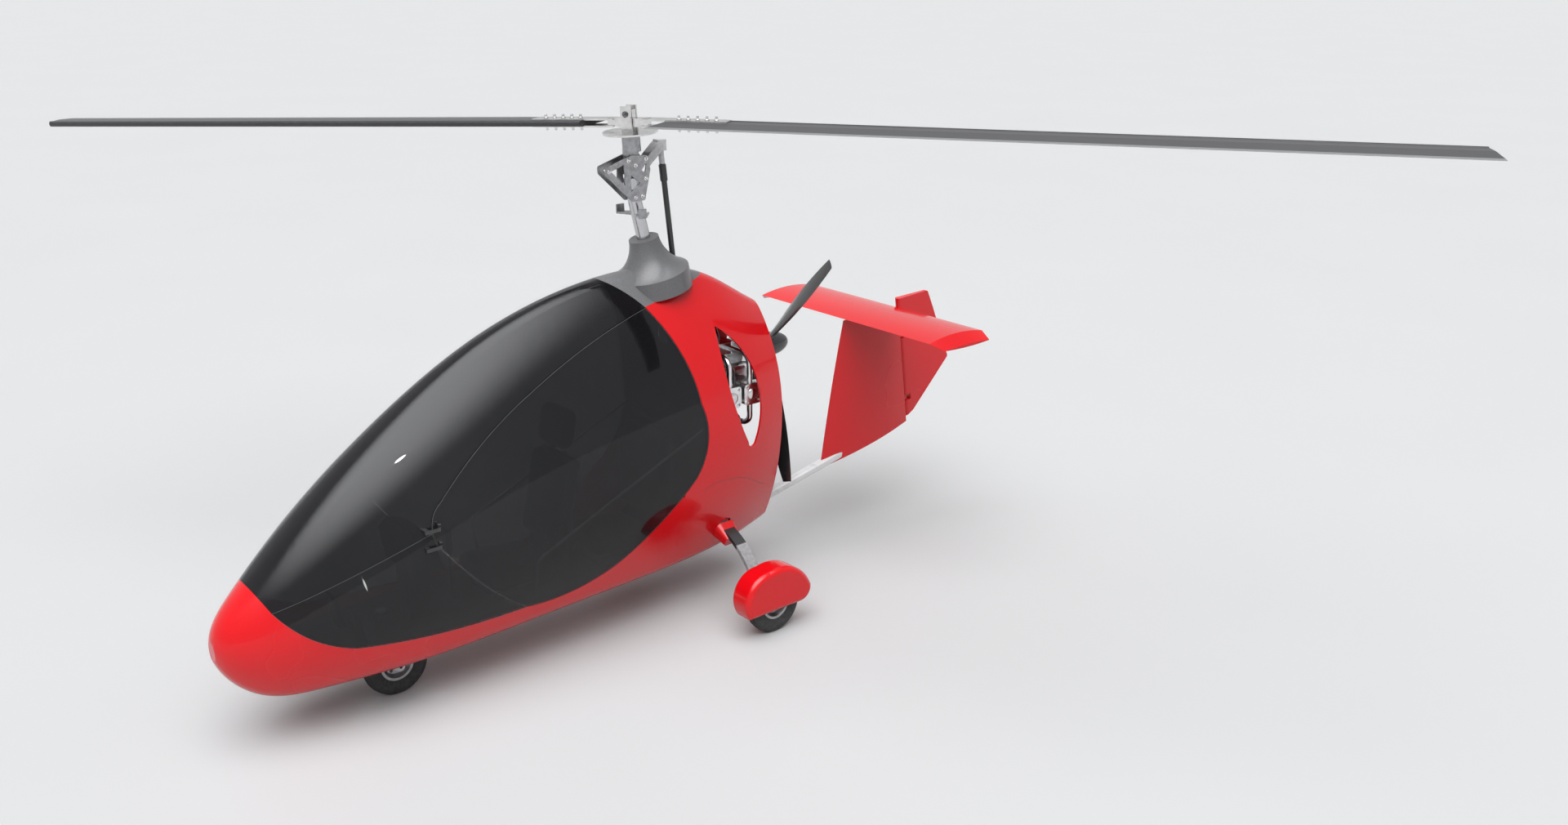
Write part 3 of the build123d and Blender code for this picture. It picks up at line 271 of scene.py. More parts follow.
# spin-up shaft: black below, bare metal sleeve and gearbox at the top
shaftLook = {
    "axis": "Z", "edge": 2.615, "first": (0.012, 0.012, 0.013),
    "dark": (0.34, 0.34, 0.35), "light": (0.46, 0.46, 0.47),
}
splitLook = {"blend": 0.003, "streak": 50, "rough": (0.26, 0.4), "coat": 0.3, "bump": (0.05, 0.0005)}


def splitFinish(name, look):
    material, tree, shader = startMaterial(name)
    coords = tree.nodes.new("ShaderNodeTexCoord")
    split = tree.nodes.new("ShaderNodeSeparateXYZ")
    size = tree.nodes.new("ShaderNodeMath")
    size.operation = "ABSOLUTE"
    edge = tree.nodes.new("ShaderNodeMapRange")
    edge.inputs["From Min"].default_value = look["edge"]
    edge.inputs["From Max"].default_value = look["edge"] + splitLook["blend"]
    tree.links.new(coords.outputs["Object"], split.inputs["Vector"])
    tree.links.new(split.outputs[look["axis"]], size.inputs[0])
    tree.links.new(size.outputs["Value"], edge.inputs["Value"])
    streak = noiseAt(tree, splitLook["streak"], 5)
    tone = rampFrom(tree, streak, [(0.3, look["dark"]), (0.7, look["light"])])
    mix = tree.nodes.new("ShaderNodeMix")
    mix.data_type = "RGBA"
    mix.inputs["A"].default_value = (*look["first"], 1)
    tree.links.new(edge.outputs["Result"], mix.inputs["Factor"])
    tree.links.new(tone, mix.inputs["B"])
    tree.links.new(mix.outputs["Result"], shader.inputs["Base Color"])
    roughFrom(tree, shader, streak, splitLook["rough"])
    shader.inputs["Coat Weight"].default_value = splitLook["coat"]
    bumpFrom(tree, shader, streak, *splitLook["bump"])
    return material


# black seat leather with pores
leatherLook = {
    "dark": (0.012, 0.012, 0.013), "light": (0.030, 0.029, 0.029), "wear": 7,
    "rough": (0.42, 0.6), "sheen": 0.15, "pores": 240, "poreBump": (0.25, 0.0012),
}


def leatherFinish():
    material, tree, shader = startMaterial("seatLeather")
    coords = tree.nodes.new("ShaderNodeTexCoord")
    pores = tree.nodes.new("ShaderNodeTexVoronoi")
    pores.inputs["Scale"].default_value = leatherLook["pores"]
    tree.links.new(coords.outputs["Object"], pores.inputs["Vector"])
    wear = noiseAt(tree, leatherLook["wear"], 4)
    colourFrom(tree, shader, wear, [(0.3, leatherLook["dark"]), (0.7, leatherLook["light"])])
    roughFrom(tree, shader, wear, leatherLook["rough"])
    shader.inputs["Sheen Weight"].default_value = leatherLook["sheen"]
    bumpFrom(tree, shader, pores.outputs["Distance"], *leatherLook["poreBump"])
    return material


looks = {
    "redPaint": redPaint(),
    "tintedGlazing": tintedGlazing(),
    "springLeg": splitFinish("springLeg", legLook),
    "shaftFinish": splitFinish("shaftFinish", shaftLook),
    "seatLeather": leatherFinish(),
    "bladeSkinOne": bladeSkin("bladeSkinOne", leadDir),
    "bladeSkinTwo": bladeSkin("bladeSkinTwo", -leadDir),
}
for name, look in mouldedLooks.items():
    looks[name] = mouldedFinish(name, look)
for name, look in metalLooks.items():
    looks[name] = metalFinish(name, look)

nodeLooks = {
    "redPaint": [
        "hull_tub", "engine_cowl", "leg_cuffs", "wheel_spats", "fin", "rudder", "stabiliser",
    ],
    "tintedGlazing": ["windscreen", "nose_windows", "left_door", "right_door"],
    "greyCover": ["mast_fairing"],
    "cabinBlack": ["cabin_floor", "rear_bulkhead", "instrument_pod", "front_seat", "rear_seat"],
    "blackMetal": ["cabin_controls"],
    "shaftFinish": ["prerotator"],
    "springLeg": ["gear_bow"],
    "carbonBlack": ["prop_blades", "spinner", "door_hinges"],
    "brushedSteel": ["mast_tube", "cabin_rails", "main_axles", "engine_frame"],
    "satinAlloy": [
        "cheek_plates", "mast_brackets", "head_block", "nose_fork", "left_rim", "right_rim", "nose_rim",
    ],
    "engineAlloy": ["engine_block", "engine_cylinders", "intake_pipes"],
    "brightSteel": ["exhaust_pipes", "hub_bar", "rotor_disc"],
    "boomWhite": ["tail_boom"],
    "tyreRubber": ["left_tyre", "right_tyre", "nose_tyre"],
    "bladeSkinOne": ["rotor_blade_1"],
    "bladeSkinTwo": ["rotor_blade_2"],
}
for look, names in nodeLooks.items():
    for name in names:
        nodes[name].data.materials.clear()
        nodes[name].data.materials.append(looks[look])
print("finishes on the frame done")


# mesh helpers
def newPiece(name, bm, look, body):
    mesh = bpy.data.meshes.new(name)
    bmesh.ops.recalc_face_normals(bm, faces=bm.faces[:])
    bm.to_mesh(mesh)
    bm.free()
    piece = bpy.data.objects.new(name, mesh)
    bpy.context.scene.collection.objects.link(piece)
    mesh.materials.append(looks[look])
    for face in mesh.polygons:
        face.use_smooth = True
    mesh.set_sharp_from_angle(angle=math.radians(38))
    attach(piece, body)
    return piece


def axisTurn(direction):
    return Vector(direction).to_track_quat("Z", "Y").to_matrix().to_4x4()


def ringAt(bm, turn, radius, height, segments):
    ring = []
    for step in range(segments):
        angle = 2 * math.pi * step / segments
        spot = Vector((radius * math.cos(angle), radius * math.sin(angle), height))
        ring.append(bm.verts.new(turn @ spot))
    return ring


def skinRings(bm, rings):
    for low, high in zip(rings, rings[1:]):
        for step in range(len(low)):
            following = (step + 1) % len(low)
            bm.faces.new((low[step], low[following], high[following], high[step]))
    bm.faces.new(rings[0])
    bm.faces.new(rings[-1])


def addLathe(bm, profile, place, direction, segments):
    turn = Matrix.Translation(place) @ axisTurn(direction)
    skinRings(bm, [ringAt(bm, turn, radius, height, segments) for radius, height in profile])


def addTube(bm, points, radius, segments=12):
    rings = []
    for index, point in enumerate(points):
        before = points[max(index - 1, 0)]
        after = points[min(index + 1, len(points) - 1)]
        turn = Matrix.Translation(point) @ axisTurn(Vector(after) - Vector(before))
        rings.append(ringAt(bm, turn, radius, 0, segments))
    skinRings(bm, rings)


# washer and six-sided head, as shares of the bolt's radius and height
boltShape = {
    "washer": [(1.55, 0), (1.55, 0.22), (1.4, 0.28)],
    "head": [(1, 0), (1, 0.6), (0.82, 0.74)],
    "headRise": 0.26,
}


def addBolt(bm, place, direction, radius, height):
    washer = [(radius * r, height * z) for r, z in boltShape["washer"]]
    head = [(radius * r, height * z) for r, z in boltShape["head"]]
    top = Vector(place) + Vector(direction).normalized() * height * boltShape["headRise"]
    addLathe(bm, washer, place, direction, 20)
    addLathe(bm, head, top, direction, 6)


def smoothPath(points, steps=6):
    spots = [Vector(point) for point in points]
    result = []
    for index in range(len(spots) - 1):
        p0 = spots[max(index - 1, 0)]
        p1 = spots[index]
        p2 = spots[index + 1]
        p3 = spots[min(index + 2, len(spots) - 1)]
        for step in range(steps):
            t = step / steps
            result.append(0.5 * (
                2 * p1 + (p2 - p0) * t + (2 * p0 - 5 * p1 + 4 * p2 - p3) * t * t
                + (3 * p1 - p0 - 3 * p2 + p3) * t ** 3
            ))
    result.append(spots[-1])
    return result


# bolts along the hub bar, above and below
hubBoltLook = {
    "first": 0.295, "pitch": 0.054, "count": 5, "rise": 0.023,
    "radius": 0.0085, "height": 0.020, "droop": math.radians(0.94),
}


def hubBolts():
    bm = bmesh.new()
    flat, drop = math.cos(hubBoltLook["droop"]), math.sin(hubBoltLook["droop"])
    for side in (1, -1):
        along = spanDir * side * flat - rotorUp * drop
        up = rotorUp * flat + spanDir * side * drop
        for step in range(hubBoltLook["count"]):
            spot = hubPoint + along * (hubBoltLook["first"] + step * hubBoltLook["pitch"])
            for facing in (1, -1):
                place = spot + up * facing * hubBoltLook["rise"]
                addBolt(bm, place, up * facing, hubBoltLook["radius"], hubBoltLook["height"])
    newPiece("hubBolts", bm, "brightSteel", "rotor")


hubBolts()

# bolt heads on the teeter lugs
teeterBoltLook = {"rise": 0.046, "lugFace": 0.041, "radius": 0.011, "height": 0.018}


def teeterBolts():
    bm = bmesh.new()
    centre = hubPoint + rotorUp * teeterBoltLook["rise"]
    for side in (1, -1):
        place = centre + leadDir * side * teeterBoltLook["lugFace"]
        addBolt(bm, place, leadDir * side, teeterBoltLook["radius"], teeterBoltLook["height"])
    newPiece("teeterBolts", bm, "darkSteel", "rotor_spindle")


teeterBolts()

# bolts on both cheek plates, given as Y and Z
cheekBoltLook = {
    "face": 0.042, "radius": 0.008, "height": 0.015,
    "spots": [
        (-0.035, 2.632), (-0.206, 2.613), (0.034, 2.662), (-0.042, 2.458),
        (0.004, 2.462), (-0.08, 2.66), (0.03, 2.556),
    ],
}


def cheekBolts():
    bm = bmesh.new()
    for side in (1, -1):
        for y, z in cheekBoltLook["spots"]:
            place = (side * cheekBoltLook["face"], y, z)
            addBolt(bm, place, (side, 0, 0), cheekBoltLook["radius"], cheekBoltLook["height"])
    newPiece("cheekBolts", bm, "brightSteel", "airframe")


cheekBolts()
print("rotor head fasteners done")

# tyres with tread grooves, in place of the plain ones
treadLook = {
    "bead": 0.092, "beadHalf": 0.031, "flangeHalf": 0.036, "flangeRise": 0.010, "bulgeRise": 0.036,
    "wallShare": 0.97, "wallDrop": 0.016, "shoulderShare": 0.8, "shoulderDrop": 0.012,
    "grooves": (-0.5, 0.0, 0.5), "crownDrop": 0.008, "lip": 0.0055, "bottom": 0.0035, "depth": 0.006,
    "segments": 40,
}


def tyreBody(node, body):
    low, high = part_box(node)
    centre = (Vector(low) + Vector(high)) / 2
    radius = (high[2] - low[2]) / 2
    half = (high[0] - low[0]) / 2
    shoulder = radius - treadLook["shoulderDrop"]
    wall = [
        (-treadLook["beadHalf"], treadLook["bead"]),
        (-treadLook["flangeHalf"], treadLook["bead"] + treadLook["flangeRise"]),
        (-half, treadLook["bead"] + treadLook["bulgeRise"]),
        (-half * treadLook["wallShare"], shoulder - treadLook["wallDrop"]),
        (-half * treadLook["shoulderShare"], shoulder),
    ]
    profile = list(wall)
    for share in treadLook["grooves"]:
        middle = half * share
        crown = radius - treadLook["crownDrop"] * abs(share)
        bottom = crown - treadLook["depth"]
        profile += [
            (middle - treadLook["lip"], crown), (middle - treadLook["bottom"], bottom),
            (middle + treadLook["bottom"], bottom), (middle + treadLook["lip"], crown),
        ]
    profile += [(-x, r) for x, r in reversed(wall)]
    bm = bmesh.new()
    rings = []
    for step in range(treadLook["segments"]):
        angle = 2 * math.pi * step / treadLook["segments"]
        y, z = math.sin(angle), math.cos(angle)
        rings.append([bm.verts.new(centre + Vector((x, r * y, r * z))) for x, r in profile])
    for index, ring in enumerate(rings):
        after = rings[(index + 1) % len(rings)]
        for step in range(len(profile)):
            following = (step + 1) % len(profile)
            bm.faces.new((ring[step], ring[following], after[following], after[step]))
    piece = newPiece(node + "_tread", bm, "tyreRubber", body)
    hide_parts(node)


# bolts round both faces of each rim
rimBoltLook = {"circle": 0.05, "face": 0.010, "count": 5, "radius": 0.006, "height": 0.010}


def rimBolts(stem):
    low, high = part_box(stem + "_rim")
    centre = (Vector(low) + Vector(high)) / 2
    bm = bmesh.new()
    for side in (1, -1):
        for step in range(rimBoltLook["count"]):
            angle = 2 * math.pi * step / rimBoltLook["count"]
            y, z = rimBoltLook["circle"] * math.sin(angle), rimBoltLook["circle"] * math.cos(angle)
            place = centre + Vector((side * rimBoltLook["face"], y, z))
            addBolt(bm, place, (side, 0, 0), rimBoltLook["radius"], rimBoltLook["height"])
    newPiece(stem + "RimBolts", bm, "darkSteel", stem + "_wheel")


for stem in ("left", "right", "nose"):
    tyreBody(stem + "_tyre", stem + "_wheel")
    rimBolts(stem)
print("wheels done")

# seat pads: rounded, crowned, with sewn channels and sides that pull in between the corners
padLook = {
    "sideRoom": 0.02, "pullIn": 0.012, "channelDepth": 0.010, "channelWidth": 0.05,
    "cushionSize": (0.42, 0.11), "cushionPlace": (0.235, 0.115), "cushionTilt": math.radians(-6),
    "cushionChannels": (-0.35, 0.05, 0.45), "cushionCrown": 0.018,
    "backLow": (0.475, 0.20), "backHigh": (-0.085, -0.29), "backThick": 0.10,
    "backChannels": (-0.55, -0.1, 0.35), "backCrown": 0.016, "padRound": 0.045,
    "headSize": (0.27, 0.22, 0.10), "headPlace": (-0.065, -0.125), "headCrown": 0.010, "headRound": 0.048,
}


def softPad(size, roundness, crown, channels, turnX, place):
    bm = bmesh.new()
    bmesh.ops.create_cube(bm, size=2)
    bmesh.ops.subdivide_edges(bm, edges=bm.edges[:], cuts=13, use_grid_fill=True)
    half = Vector(size) / 2
    inner = [max(length - roundness, 0) for length in half]
    turn = Matrix.Translation(place) @ Matrix.Rotation(turnX, 4, "X")
    for vert in bm.verts:
        u, v, w = vert.co
        full = Vector((u * half.x, v * half.y, w * half.z))
        core = Vector([max(-limit, min(limit, value)) for limit, value in zip(inner, full)])
        away = full - core
        if away.length > 1e-6:
            full = core + away.normalized() * roundness
        if abs(w) > 0.9:
            full.z += w * crown * (1 - u * u) * (1 - v * v)
        full.x -= padLook["pullIn"] * u * (1 - v * v) * (1 - w * w)
        if w > 0.5:
            for line in channels:
                groove = math.exp(-((v - line) / padLook["channelWidth"]) ** 2)
                full.z -= padLook["channelDepth"] * groove * (1 - u ** 6)
        vert.co = turn @ full
    return bm


def joinMeshes(parts):
    bm = bmesh.new()
    for part in parts:
        mesh = bpy.data.meshes.new("padPart")
        part.to_mesh(mesh)
        part.free()
        bm.from_mesh(mesh)
        bpy.data.meshes.remove(mesh)
    return bm


# where one seat stands: its corners, and the line of its back
def seatPlaces(node):
    low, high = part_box(node)
    backLow = Vector((0, low[1] + padLook["backLow"][0], low[2] + padLook["backLow"][1]))
    backHigh = Vector((0, high[1] + padLook["backHigh"][0], high[2] + padLook["backHigh"][1]))
    run = backHigh - backLow
    return {
        "width": high[0] - low[0] - padLook["sideRoom"],
        "front": low[1], "rear": high[1], "floor": low[2], "top": high[2],
        "backLow": backLow, "backMiddle": (backLow + backHigh) / 2, "backHigh": backHigh,
        "backLength": run.length, "lean": math.atan2(run.z, run.y),
        "behind": Vector((0, run.z, -run.y)).normalized(),
    }


def seatPads(node, label, seat):
    cushionY, cushionZ = padLook["cushionPlace"]
    headY, headZ = padLook["headPlace"]
    cushion = softPad(
        (seat["width"], *padLook["cushionSize"]), padLook["padRound"], padLook["cushionCrown"],
        padLook["cushionChannels"], padLook["cushionTilt"],
        (0, seat["front"] + cushionY, seat["floor"] + cushionZ),
    )
    back = softPad(
        (seat["width"], seat["backLength"], padLook["backThick"]), padLook["padRound"],
        padLook["backCrown"], padLook["backChannels"], seat["lean"], seat["backMiddle"],
    )
    head = softPad(
        padLook["headSize"], padLook["headRound"], padLook["headCrown"], (), seat["lean"],
        (0, seat["rear"] + headY, seat["top"] + headZ),
    )
    parts = joinMeshes([cushion, back, head])
    pads = newPiece(label + "Pads", parts, "seatLeather", "airframe")
    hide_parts(node)


# moulded base under the cushion, narrower towards the floor
baseLook = {"bevel": 0.08, "taper": 0.12, "widthShare": 0.92, "middle": 0.25, "length": 0.40, "height": 0.061}


def seatBase(label, seat):
    bm = bmesh.new()
    bmesh.ops.create_cube(bm, size=1)
    bmesh.ops.bevel(bm, geom=bm.edges[:], offset=baseLook["bevel"], segments=3, affect="EDGES")
    for vert in bm.verts:
        taper = 1 - baseLook["taper"] * (0.5 - vert.co.z)
        vert.co = Vector((
            vert.co.x * seat["width"] * baseLook["widthShare"] * taper,
            seat["front"] + baseLook["middle"] + vert.co.y * baseLook["length"] * taper,
            seat["floor"] + (0.5 + vert.co.z) * baseLook["height"],
        ))
    newPiece(label + "Base", bm, "cabinBlack", "airframe")


# a strip along a path, its two edges lifted by lip
def addSheet(bm, path, width, lip):
    rows = []
    for index, point in enumerate(path):
        ahead = path[min(index + 1, len(path) - 1)] - path[max(index - 1, 0)]
        inward = Vector((0, -ahead.z, ahead.y)).normalized()
        row = []
        for step in range(11):
            u = step / 5 - 1
            row.append(bm.verts.new(point + Vector((u * width / 2, 0, 0)) + inward * lip * abs(u) ** 5))
        rows.append(row)
    for low, high in zip(rows, rows[1:]):
        for step in range(10):
            bm.faces.new((low[step], low[step + 1], high[step + 1], high[step]))


# one moulded shell under the cushion and behind the back
shellLook = {
    "floorSpots": [(0.03, 0.062), (0.25, 0.05), (0.46, 0.06)], "behind": (0.064, 0.064, 0.062),
    "extraWidth": 0.012, "lip": 0.030, "thick": 0.008,
}


def seatShell(label, seat):
    spots = [(0, seat["front"] + y, seat["floor"] + z) for y, z in shellLook["floorSpots"]]
    for name, gap in zip(("backLow", "backMiddle", "backHigh"), shellLook["behind"]):
        spots.append(seat[name] + seat["behind"] * gap)
    bm = bmesh.new()
    addSheet(bm, smoothPath(spots, 5), seat["width"] + shellLook["extraWidth"], shellLook["lip"])
    bmesh.ops.solidify(bm, geom=bm.faces[:], thickness=shellLook["thick"])
    newPiece(label + "Shell", bm, "cabinBlack", "airframe")


# two posts that carry the headrest
postLook = {"apart": 0.06, "sink": 0.05, "behind": 0.065, "below": 0.15, "radius": 0.006}


def headPosts(label, seat):
    bm = bmesh.new()
    for x in (-postLook["apart"], postLook["apart"]):
        foot = seat["backHigh"] + Vector((x, 0, -postLook["sink"]))
        tip = Vector((x, seat["rear"] - postLook["behind"], seat["top"] - postLook["below"]))
        addTube(bm, [foot, tip], postLook["radius"])
    newPiece(label + "Posts", bm, "brushedSteel", "airframe")


# shoulder belts over the back; rows are place, gap behind the back, share of apart, rise
beltLook = {
    "apart": 0.095, "width": 0.046, "thick": 0.002,
    "rows": [
        ("backHigh", 0.03, 0.6, 0.03), ("backHigh", -0.052, 0.7, -0.02),
        ("backMiddle", -0.071, 1, 0), ("backLow", -0.070, 1, 0.05),
    ],
}


def seatBelts(label, seat):
    bm = bmesh.new()
    for x in (-beltLook["apart"], beltLook["apart"]):
        spots = []
        for name, gap, share, rise in beltLook["rows"]:
            spots.append(seat[name] + seat["behind"] * gap + Vector((x * share, 0, rise)))
        addSheet(bm, smoothPath(spots), beltLook["width"], 0.0)
    bmesh.ops.solidify(bm, geom=bm.faces[:], thickness=beltLook["thick"])
    newPiece(label + "Belts", bm, "beltWeave", "airframe")


for node, label in (("front_seat", "frontSeat"), ("rear_seat", "rearSeat")):
    seat = seatPlaces(node)
    seatPads(node, label, seat)
    seatBase(label, seat)
    seatShell(label, seat)
    headPosts(label, seat)
    seatBelts(label, seat)
print("seats done")

# coolant hoses over the engine, port side given
hoseLook = {
    "radius": 0.017,
    "spots": [
        (0.13, 0.36, 1.40), (0.20, 0.34, 1.50), (0.22, 0.36, 1.62), (0.12, 0.40, 1.68), (0, 0.42, 1.68),
    ],
}


def coolantHoses():
    bm = bmesh.new()
    for side in (1, -1):
        addTube(bm, smoothPath([(side * x, y, z) for x, y, z in hoseLook["spots"]]), hoseLook["radius"])
    newPiece("coolantHoses", bm, "blackMetal", "airframe")


cylinderRows = (0.415, 0.565)  # Y of the two cylinders on each side

# spark plug caps and their leads
leadLook = {
    "radius": 0.004, "plug": (0.262, 0.035, 1.345), "cap": [(0.010, 0), (0.010, 0.03), (0.007, 0.05)],
    "start": (0, 0, 0.045), "bend": (-0.02, 0.01, 0.09),
    "over": (0.16, 0.02, 1.43), "end": (0.09, 0.62, 1.40),
}


def plugLeads():
    bm = bmesh.new()
    for side in (1, -1):
        for row in cylinderRows:
            plugX, plugY, plugZ = leadLook["plug"]
            bendX, bendY, bendZ = leadLook["bend"]
            overX, overY, overZ = leadLook["over"]
            endX, endY, endZ = leadLook["end"]
            spot = Vector((side * plugX, row + plugY, plugZ))
            addLathe(bm, leadLook["cap"], spot, (0, 0, 1), 14)
            path = smoothPath([
                spot + Vector(leadLook["start"]), spot + Vector((side * bendX, bendY, bendZ)),
                (side * overX, row + overY, overZ), (side * endX, endY, endZ),
            ])
            addTube(bm, path, leadLook["radius"], 8)
    newPiece("plugLeads", bm, "blackMetal", "airframe")


# four bolts and a round boss on each rocker cover
rockerLook = {
    "face": 0.294, "z": 1.27, "corner": 0.045, "radius": 0.006, "height": 0.010,
    "boss": [(0.034, 0), (0.034, 0.006), (0.026, 0.010)],
}


def rockerBolts():
    bm = bmesh.new()
    corners = (-rockerLook["corner"], rockerLook["corner"])
    for side in (1, -1):
        x = side * rockerLook["face"]
        for row in cylinderRows:
            for dy in corners:
                for dz in corners:
                    place = (x, row + dy, rockerLook["z"] + dz)
                    addBolt(bm, place, (side, 0, 0), rockerLook["radius"], rockerLook["height"])
            addLathe(bm, rockerLook["boss"], (x, row, rockerLook["z"]), (side, 0, 0), 28)
    newPiece("rockerBolts", bm, "brightSteel", "airframe")


coolantHoses()
plugLeads()
rockerBolts()
print("engine dressing done")

# dials on the sloping face of the instrument pod, given as X and Z
dialLook = {
    "radius": 0.034, "faceTop": (-1.440, 0.89), "faceRun": (0.04, 0.19),
    "rim": [(1, 0), (1, 0.008), (0.86, 0.008), (0.84, 0.004)],
    "spots": [(-0.10, 0.81), (0.0, 0.81), (0.10, 0.81), (-0.05, 0.74), (0.05, 0.74)],
}


def instrumentDials():
    bm = bmesh.new()
    topY, topZ = dialLook["faceTop"]
    back, drop = dialLook["faceRun"]
    rim = [(dialLook["radius"] * r, z) for r, z in dialLook["rim"]]
    for x, z in dialLook["spots"]:
        y = topY + (topZ - z) / drop * back
        addLathe(bm, rim, (x, y, z), (0, drop, back), 28)
    newPiece("instrumentDials", bm, "darkSteel", "airframe")


instrumentDials()

# thin rubber seals along the outer edges of the doors and the lower nose windows
sealLook = {
    "radius": 0.001, "sink": 0.0006, "sharp": math.radians(45), "facing": 0.2,
    "shortest": 1e-4, "merge": 1e-5,
}


def edgeSeal(node, body, side):
    source = bmesh.new()
    source.from_mesh(nodes[node].data)
    bmesh.ops.remove_doubles(source, verts=source.verts[:], dist=sealLook["merge"])
    bm = bmesh.new()
    for edge in source.edges:
        if len(edge.link_faces) != 2 or edge.calc_face_angle(0) < sealLook["sharp"]:
            continue
        skin = max(edge.link_faces, key=lambda face: face.normal.x * side)
        if skin.normal.x * side < sealLook["facing"] or edge.calc_length() < sealLook["shortest"]:
            continue
        if edge.verts[0].co.x * side < 0:
            continue
        sunk = skin.normal * -sealLook["sink"]
        addTube(bm, [vert.co + sunk for vert in edge.verts], sealLook["radius"], 5)
    source.free()
    name = node + ("_port_seal" if side > 0 else "_starboard_seal")
    newPiece(name, bm, "sealGrey", body)


edgeSeal("left_door", "left_door", 1)
edgeSeal("right_door", "right_door", -1)
edgeSeal("nose_windows", "airframe", 1)
edgeSeal("nose_windows", "airframe", -1)

# small almond air vents seated on the glazing; rows are node, port spot, long direction
ventLook = {
    "length": 0.092, "width": 0.015, "rise": 0.004, "sink": 0.001, "steps": 24,
    "ridgeLength": 0.36, "ridgeWidth": 0.28,
    "rows": [
        ("windscreen", (0.196, -1.589, 1.366), (0.10, 0.87, 0.49)),
        ("nose_windows", (0.335, -1.889, 0.830), (-0.09, -0.19, 0.90)),
    ],
}


def airVents():
    bm = bmesh.new()
    for node, spot, along in ventLook["rows"]:
        for side in (1, -1):
            near = Vector((spot[0] * side, spot[1], spot[2]))
            found, place, normal, face = nodes[node].closest_point_on_mesh(near)
            run = Vector((along[0] * side, along[1], along[2]))
            run = (run - normal * run.dot(normal)).normalized()
            longWay = run * ventLook["length"]
            shortWay = normal.cross(run) * ventLook["width"]
            rim = []
            ridge = []
            for step in range(ventLook["steps"]):
                angle = 2 * math.pi * step / ventLook["steps"]
                u = math.cos(angle)
                v = math.sin(angle) * abs(math.sin(angle))  # pointed ends
                low = place - normal * ventLook["sink"]
                high = place + normal * ventLook["rise"]
                rim.append(bm.verts.new(low + longWay * u / 2 + shortWay * v / 2))
                ridge.append(bm.verts.new(
                    high + longWay * u * ventLook["ridgeLength"] + shortWay * v * ventLook["ridgeWidth"]
                ))
            for step in range(ventLook["steps"]):
                following = (step + 1) % ventLook["steps"]
                bm.faces.new((rim[step], rim[following], ridge[following], ridge[step]))
            bm.faces.new(ridge)
            bm.faces.new(list(reversed(rim)))
    newPiece("airVents", bm, "brightSteel", "airframe")


airVents()

# faint edge of the lower cowl panel, laid on the skin from spots just outside it
panelLook = {
    "radius": 0.0012, "sink": 0.0005, "outside": 1.06,
    "spots": [
        (0.425, 0.10, 0.80), (0.417, 0.136, 0.827), (0.401, 0.278, 0.831),
        (0.330, 0.549, 0.728), (0.285, 0.636, 0.659),
    ],
}


def cowlPanelEdge():
    bm = bmesh.new()
    for side in (1, -1):
        spots = [(x * side * panelLook["outside"], y, z) for x, y, z in panelLook["spots"]]
        path = []
        for point in smoothPath(spots, 8):
            found, place, normal, face = nodes["engine_cowl"].closest_point_on_mesh(point)
            path.append(place - normal * panelLook["sink"])
        addTube(bm, path, panelLook["radius"], 6)
    newPiece("cowlPanelEdge", bm, "blackMetal", "airframe")


cowlPanelEdge()
print("cabin dressing done")

# camera at the photo's viewing angle; the lens comes from pixels on a 1920 wide picture
cameraLook = {
    "place": (6.143, -4.163, 3.748), "yaw": 49.668, "pitch": 19.043, "sensor": 36,
    "lens": 1653.24 * 36 / 1920,
}
camera = bpy.data.cameras.new("photoCamera")
camera.lens = cameraLook["lens"]
camera.sensor_width = cameraLook["sensor"]
cameraObject = bpy.data.objects.new("photoCamera", camera)
cameraObject.location = cameraLook["place"]
cameraObject.rotation_euler = (
    math.radians(90 - cameraLook["pitch"]), 0, math.radians(cameraLook["yaw"]),
)
bpy.context.scene.collection.objects.link(cameraObject)
bpy.context.scene.camera = cameraObject

# pale floor
floorLook = {"half": 600, "colour": (0.38, 0.38, 0.38), "fade": 0.97, "drift": 0.4, "rough": 0.5}
floorMesh = bpy.data.meshes.new("studioFloor")
half = floorLook["half"]
floorMesh.from_pydata(
    [(-half, -half, 0), (half, -half, 0), (half, half, 0), (-half, half, 0)], [], [(0, 1, 2, 3)],
)
floor = bpy.data.objects.new("studioFloor", floorMesh)
bpy.context.scene.collection.objects.link(floor)
floorMaterial, floorTree, floorShader = startMaterial("paleFloor")
floorFaded = scaledColour(floorLook["colour"], floorLook["fade"])
colourFrom(
    floorTree, floorShader, noiseAt(floorTree, floorLook["drift"], 2),
    [(0.2, floorFaded), (0.8, floorLook["colour"])],
)
floorShader.inputs["Roughness"].default_value = floorLook["rough"]
floorMesh.materials.append(floorMaterial)

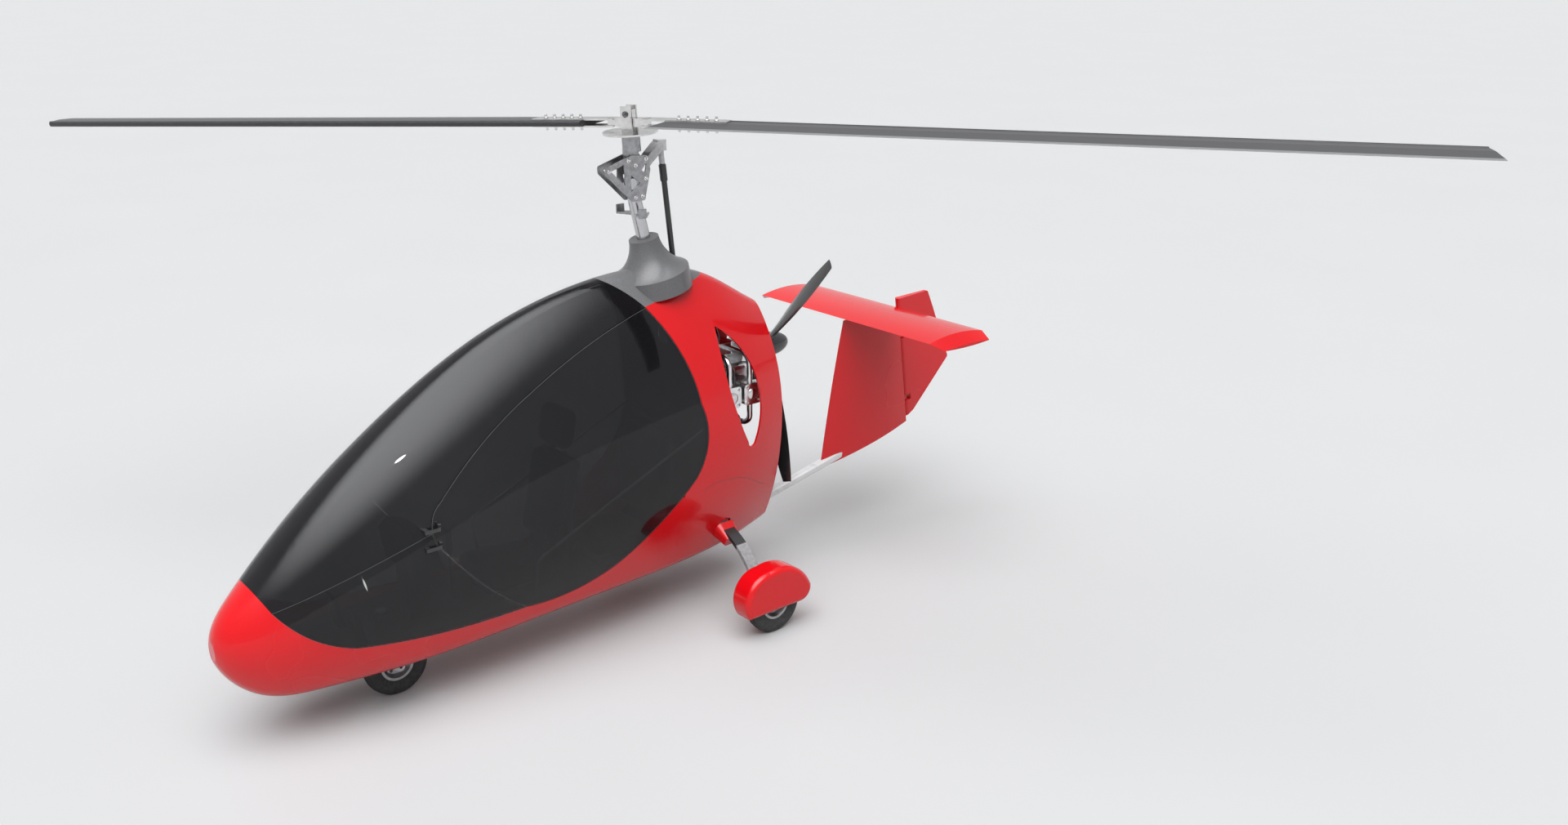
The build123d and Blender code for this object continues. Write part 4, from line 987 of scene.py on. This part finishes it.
# sky: a broad soft glow over the nose, and a lower level all round
skyLook = {
    "colour": (0.97, 0.98, 1.0), "toGlow": (0.26, -0.24, 0.935), "start": 0.72, "end": 0.97,
    "bright": 7.0, "dim": 0.3, "pale": 0.62,
}
world = bpy.data.worlds.new("studioWorld")
bpy.context.scene.world = world
world.use_nodes = True
skyTree = world.node_tree
litSky = skyTree.nodes["Background"]
litSky.inputs["Color"].default_value = (*skyLook["colour"], 1)
skyCoords = skyTree.nodes.new("ShaderNodeTexCoord")
towards = skyTree.nodes.new("ShaderNodeVectorMath")
towards.operation = "DOT_PRODUCT"
towards.inputs[1].default_value = Vector(skyLook["toGlow"]).normalized()
seen = skyTree.nodes.new("ShaderNodeLightPath")
base = skyTree.nodes.new("ShaderNodeMapRange")  # pale where the sky is seen, also in metal and glass
base.inputs["To Min"].default_value = skyLook["dim"]
base.inputs["To Max"].default_value = skyLook["pale"]
shown = seen.outputs["Is Camera Ray"]
for ray in ("Is Glossy Ray", "Is Transmission Ray"):
    either = skyTree.nodes.new("ShaderNodeMath")
    either.operation = "MAXIMUM"
    skyTree.links.new(shown, either.inputs[0])
    skyTree.links.new(seen.outputs[ray], either.inputs[1])
    shown = either.outputs["Value"]
glow = skyTree.nodes.new("ShaderNodeMapRange")
glow.interpolation_type = "SMOOTHSTEP"
glow.inputs["From Min"].default_value = skyLook["start"]
glow.inputs["From Max"].default_value = skyLook["end"]
glow.inputs["To Max"].default_value = skyLook["bright"]
skyTree.links.new(shown, base.inputs["Value"])
skyTree.links.new(base.outputs["Result"], glow.inputs["To Min"])
skyTree.links.new(skyCoords.outputs["Generated"], towards.inputs[0])
skyTree.links.new(towards.outputs["Value"], glow.inputs["Value"])
skyTree.links.new(glow.outputs["Result"], litSky.inputs["Strength"])

# two soft suns: name, direction to the sun, strength, spread in degrees
sunRows = [
    ("keyLight", (0.35, -0.5, 0.8), 0.5, 35),
    ("fillLight", (0.75, 0.45, 0.5), 0.2, 60),
]
for name, toward, power, spread in sunRows:
    lamp = bpy.data.lights.new(name, "SUN")
    lamp.energy = power
    lamp.angle = math.radians(spread)
    lampObject = bpy.data.objects.new(name, lamp)
    lampObject.rotation_euler = Vector(toward).to_track_quat("Z", "Y").to_euler()
    lampObject.visible_glossy = False  # the sky glow makes the highlights
    bpy.context.scene.collection.objects.link(lampObject)
print("studio done")
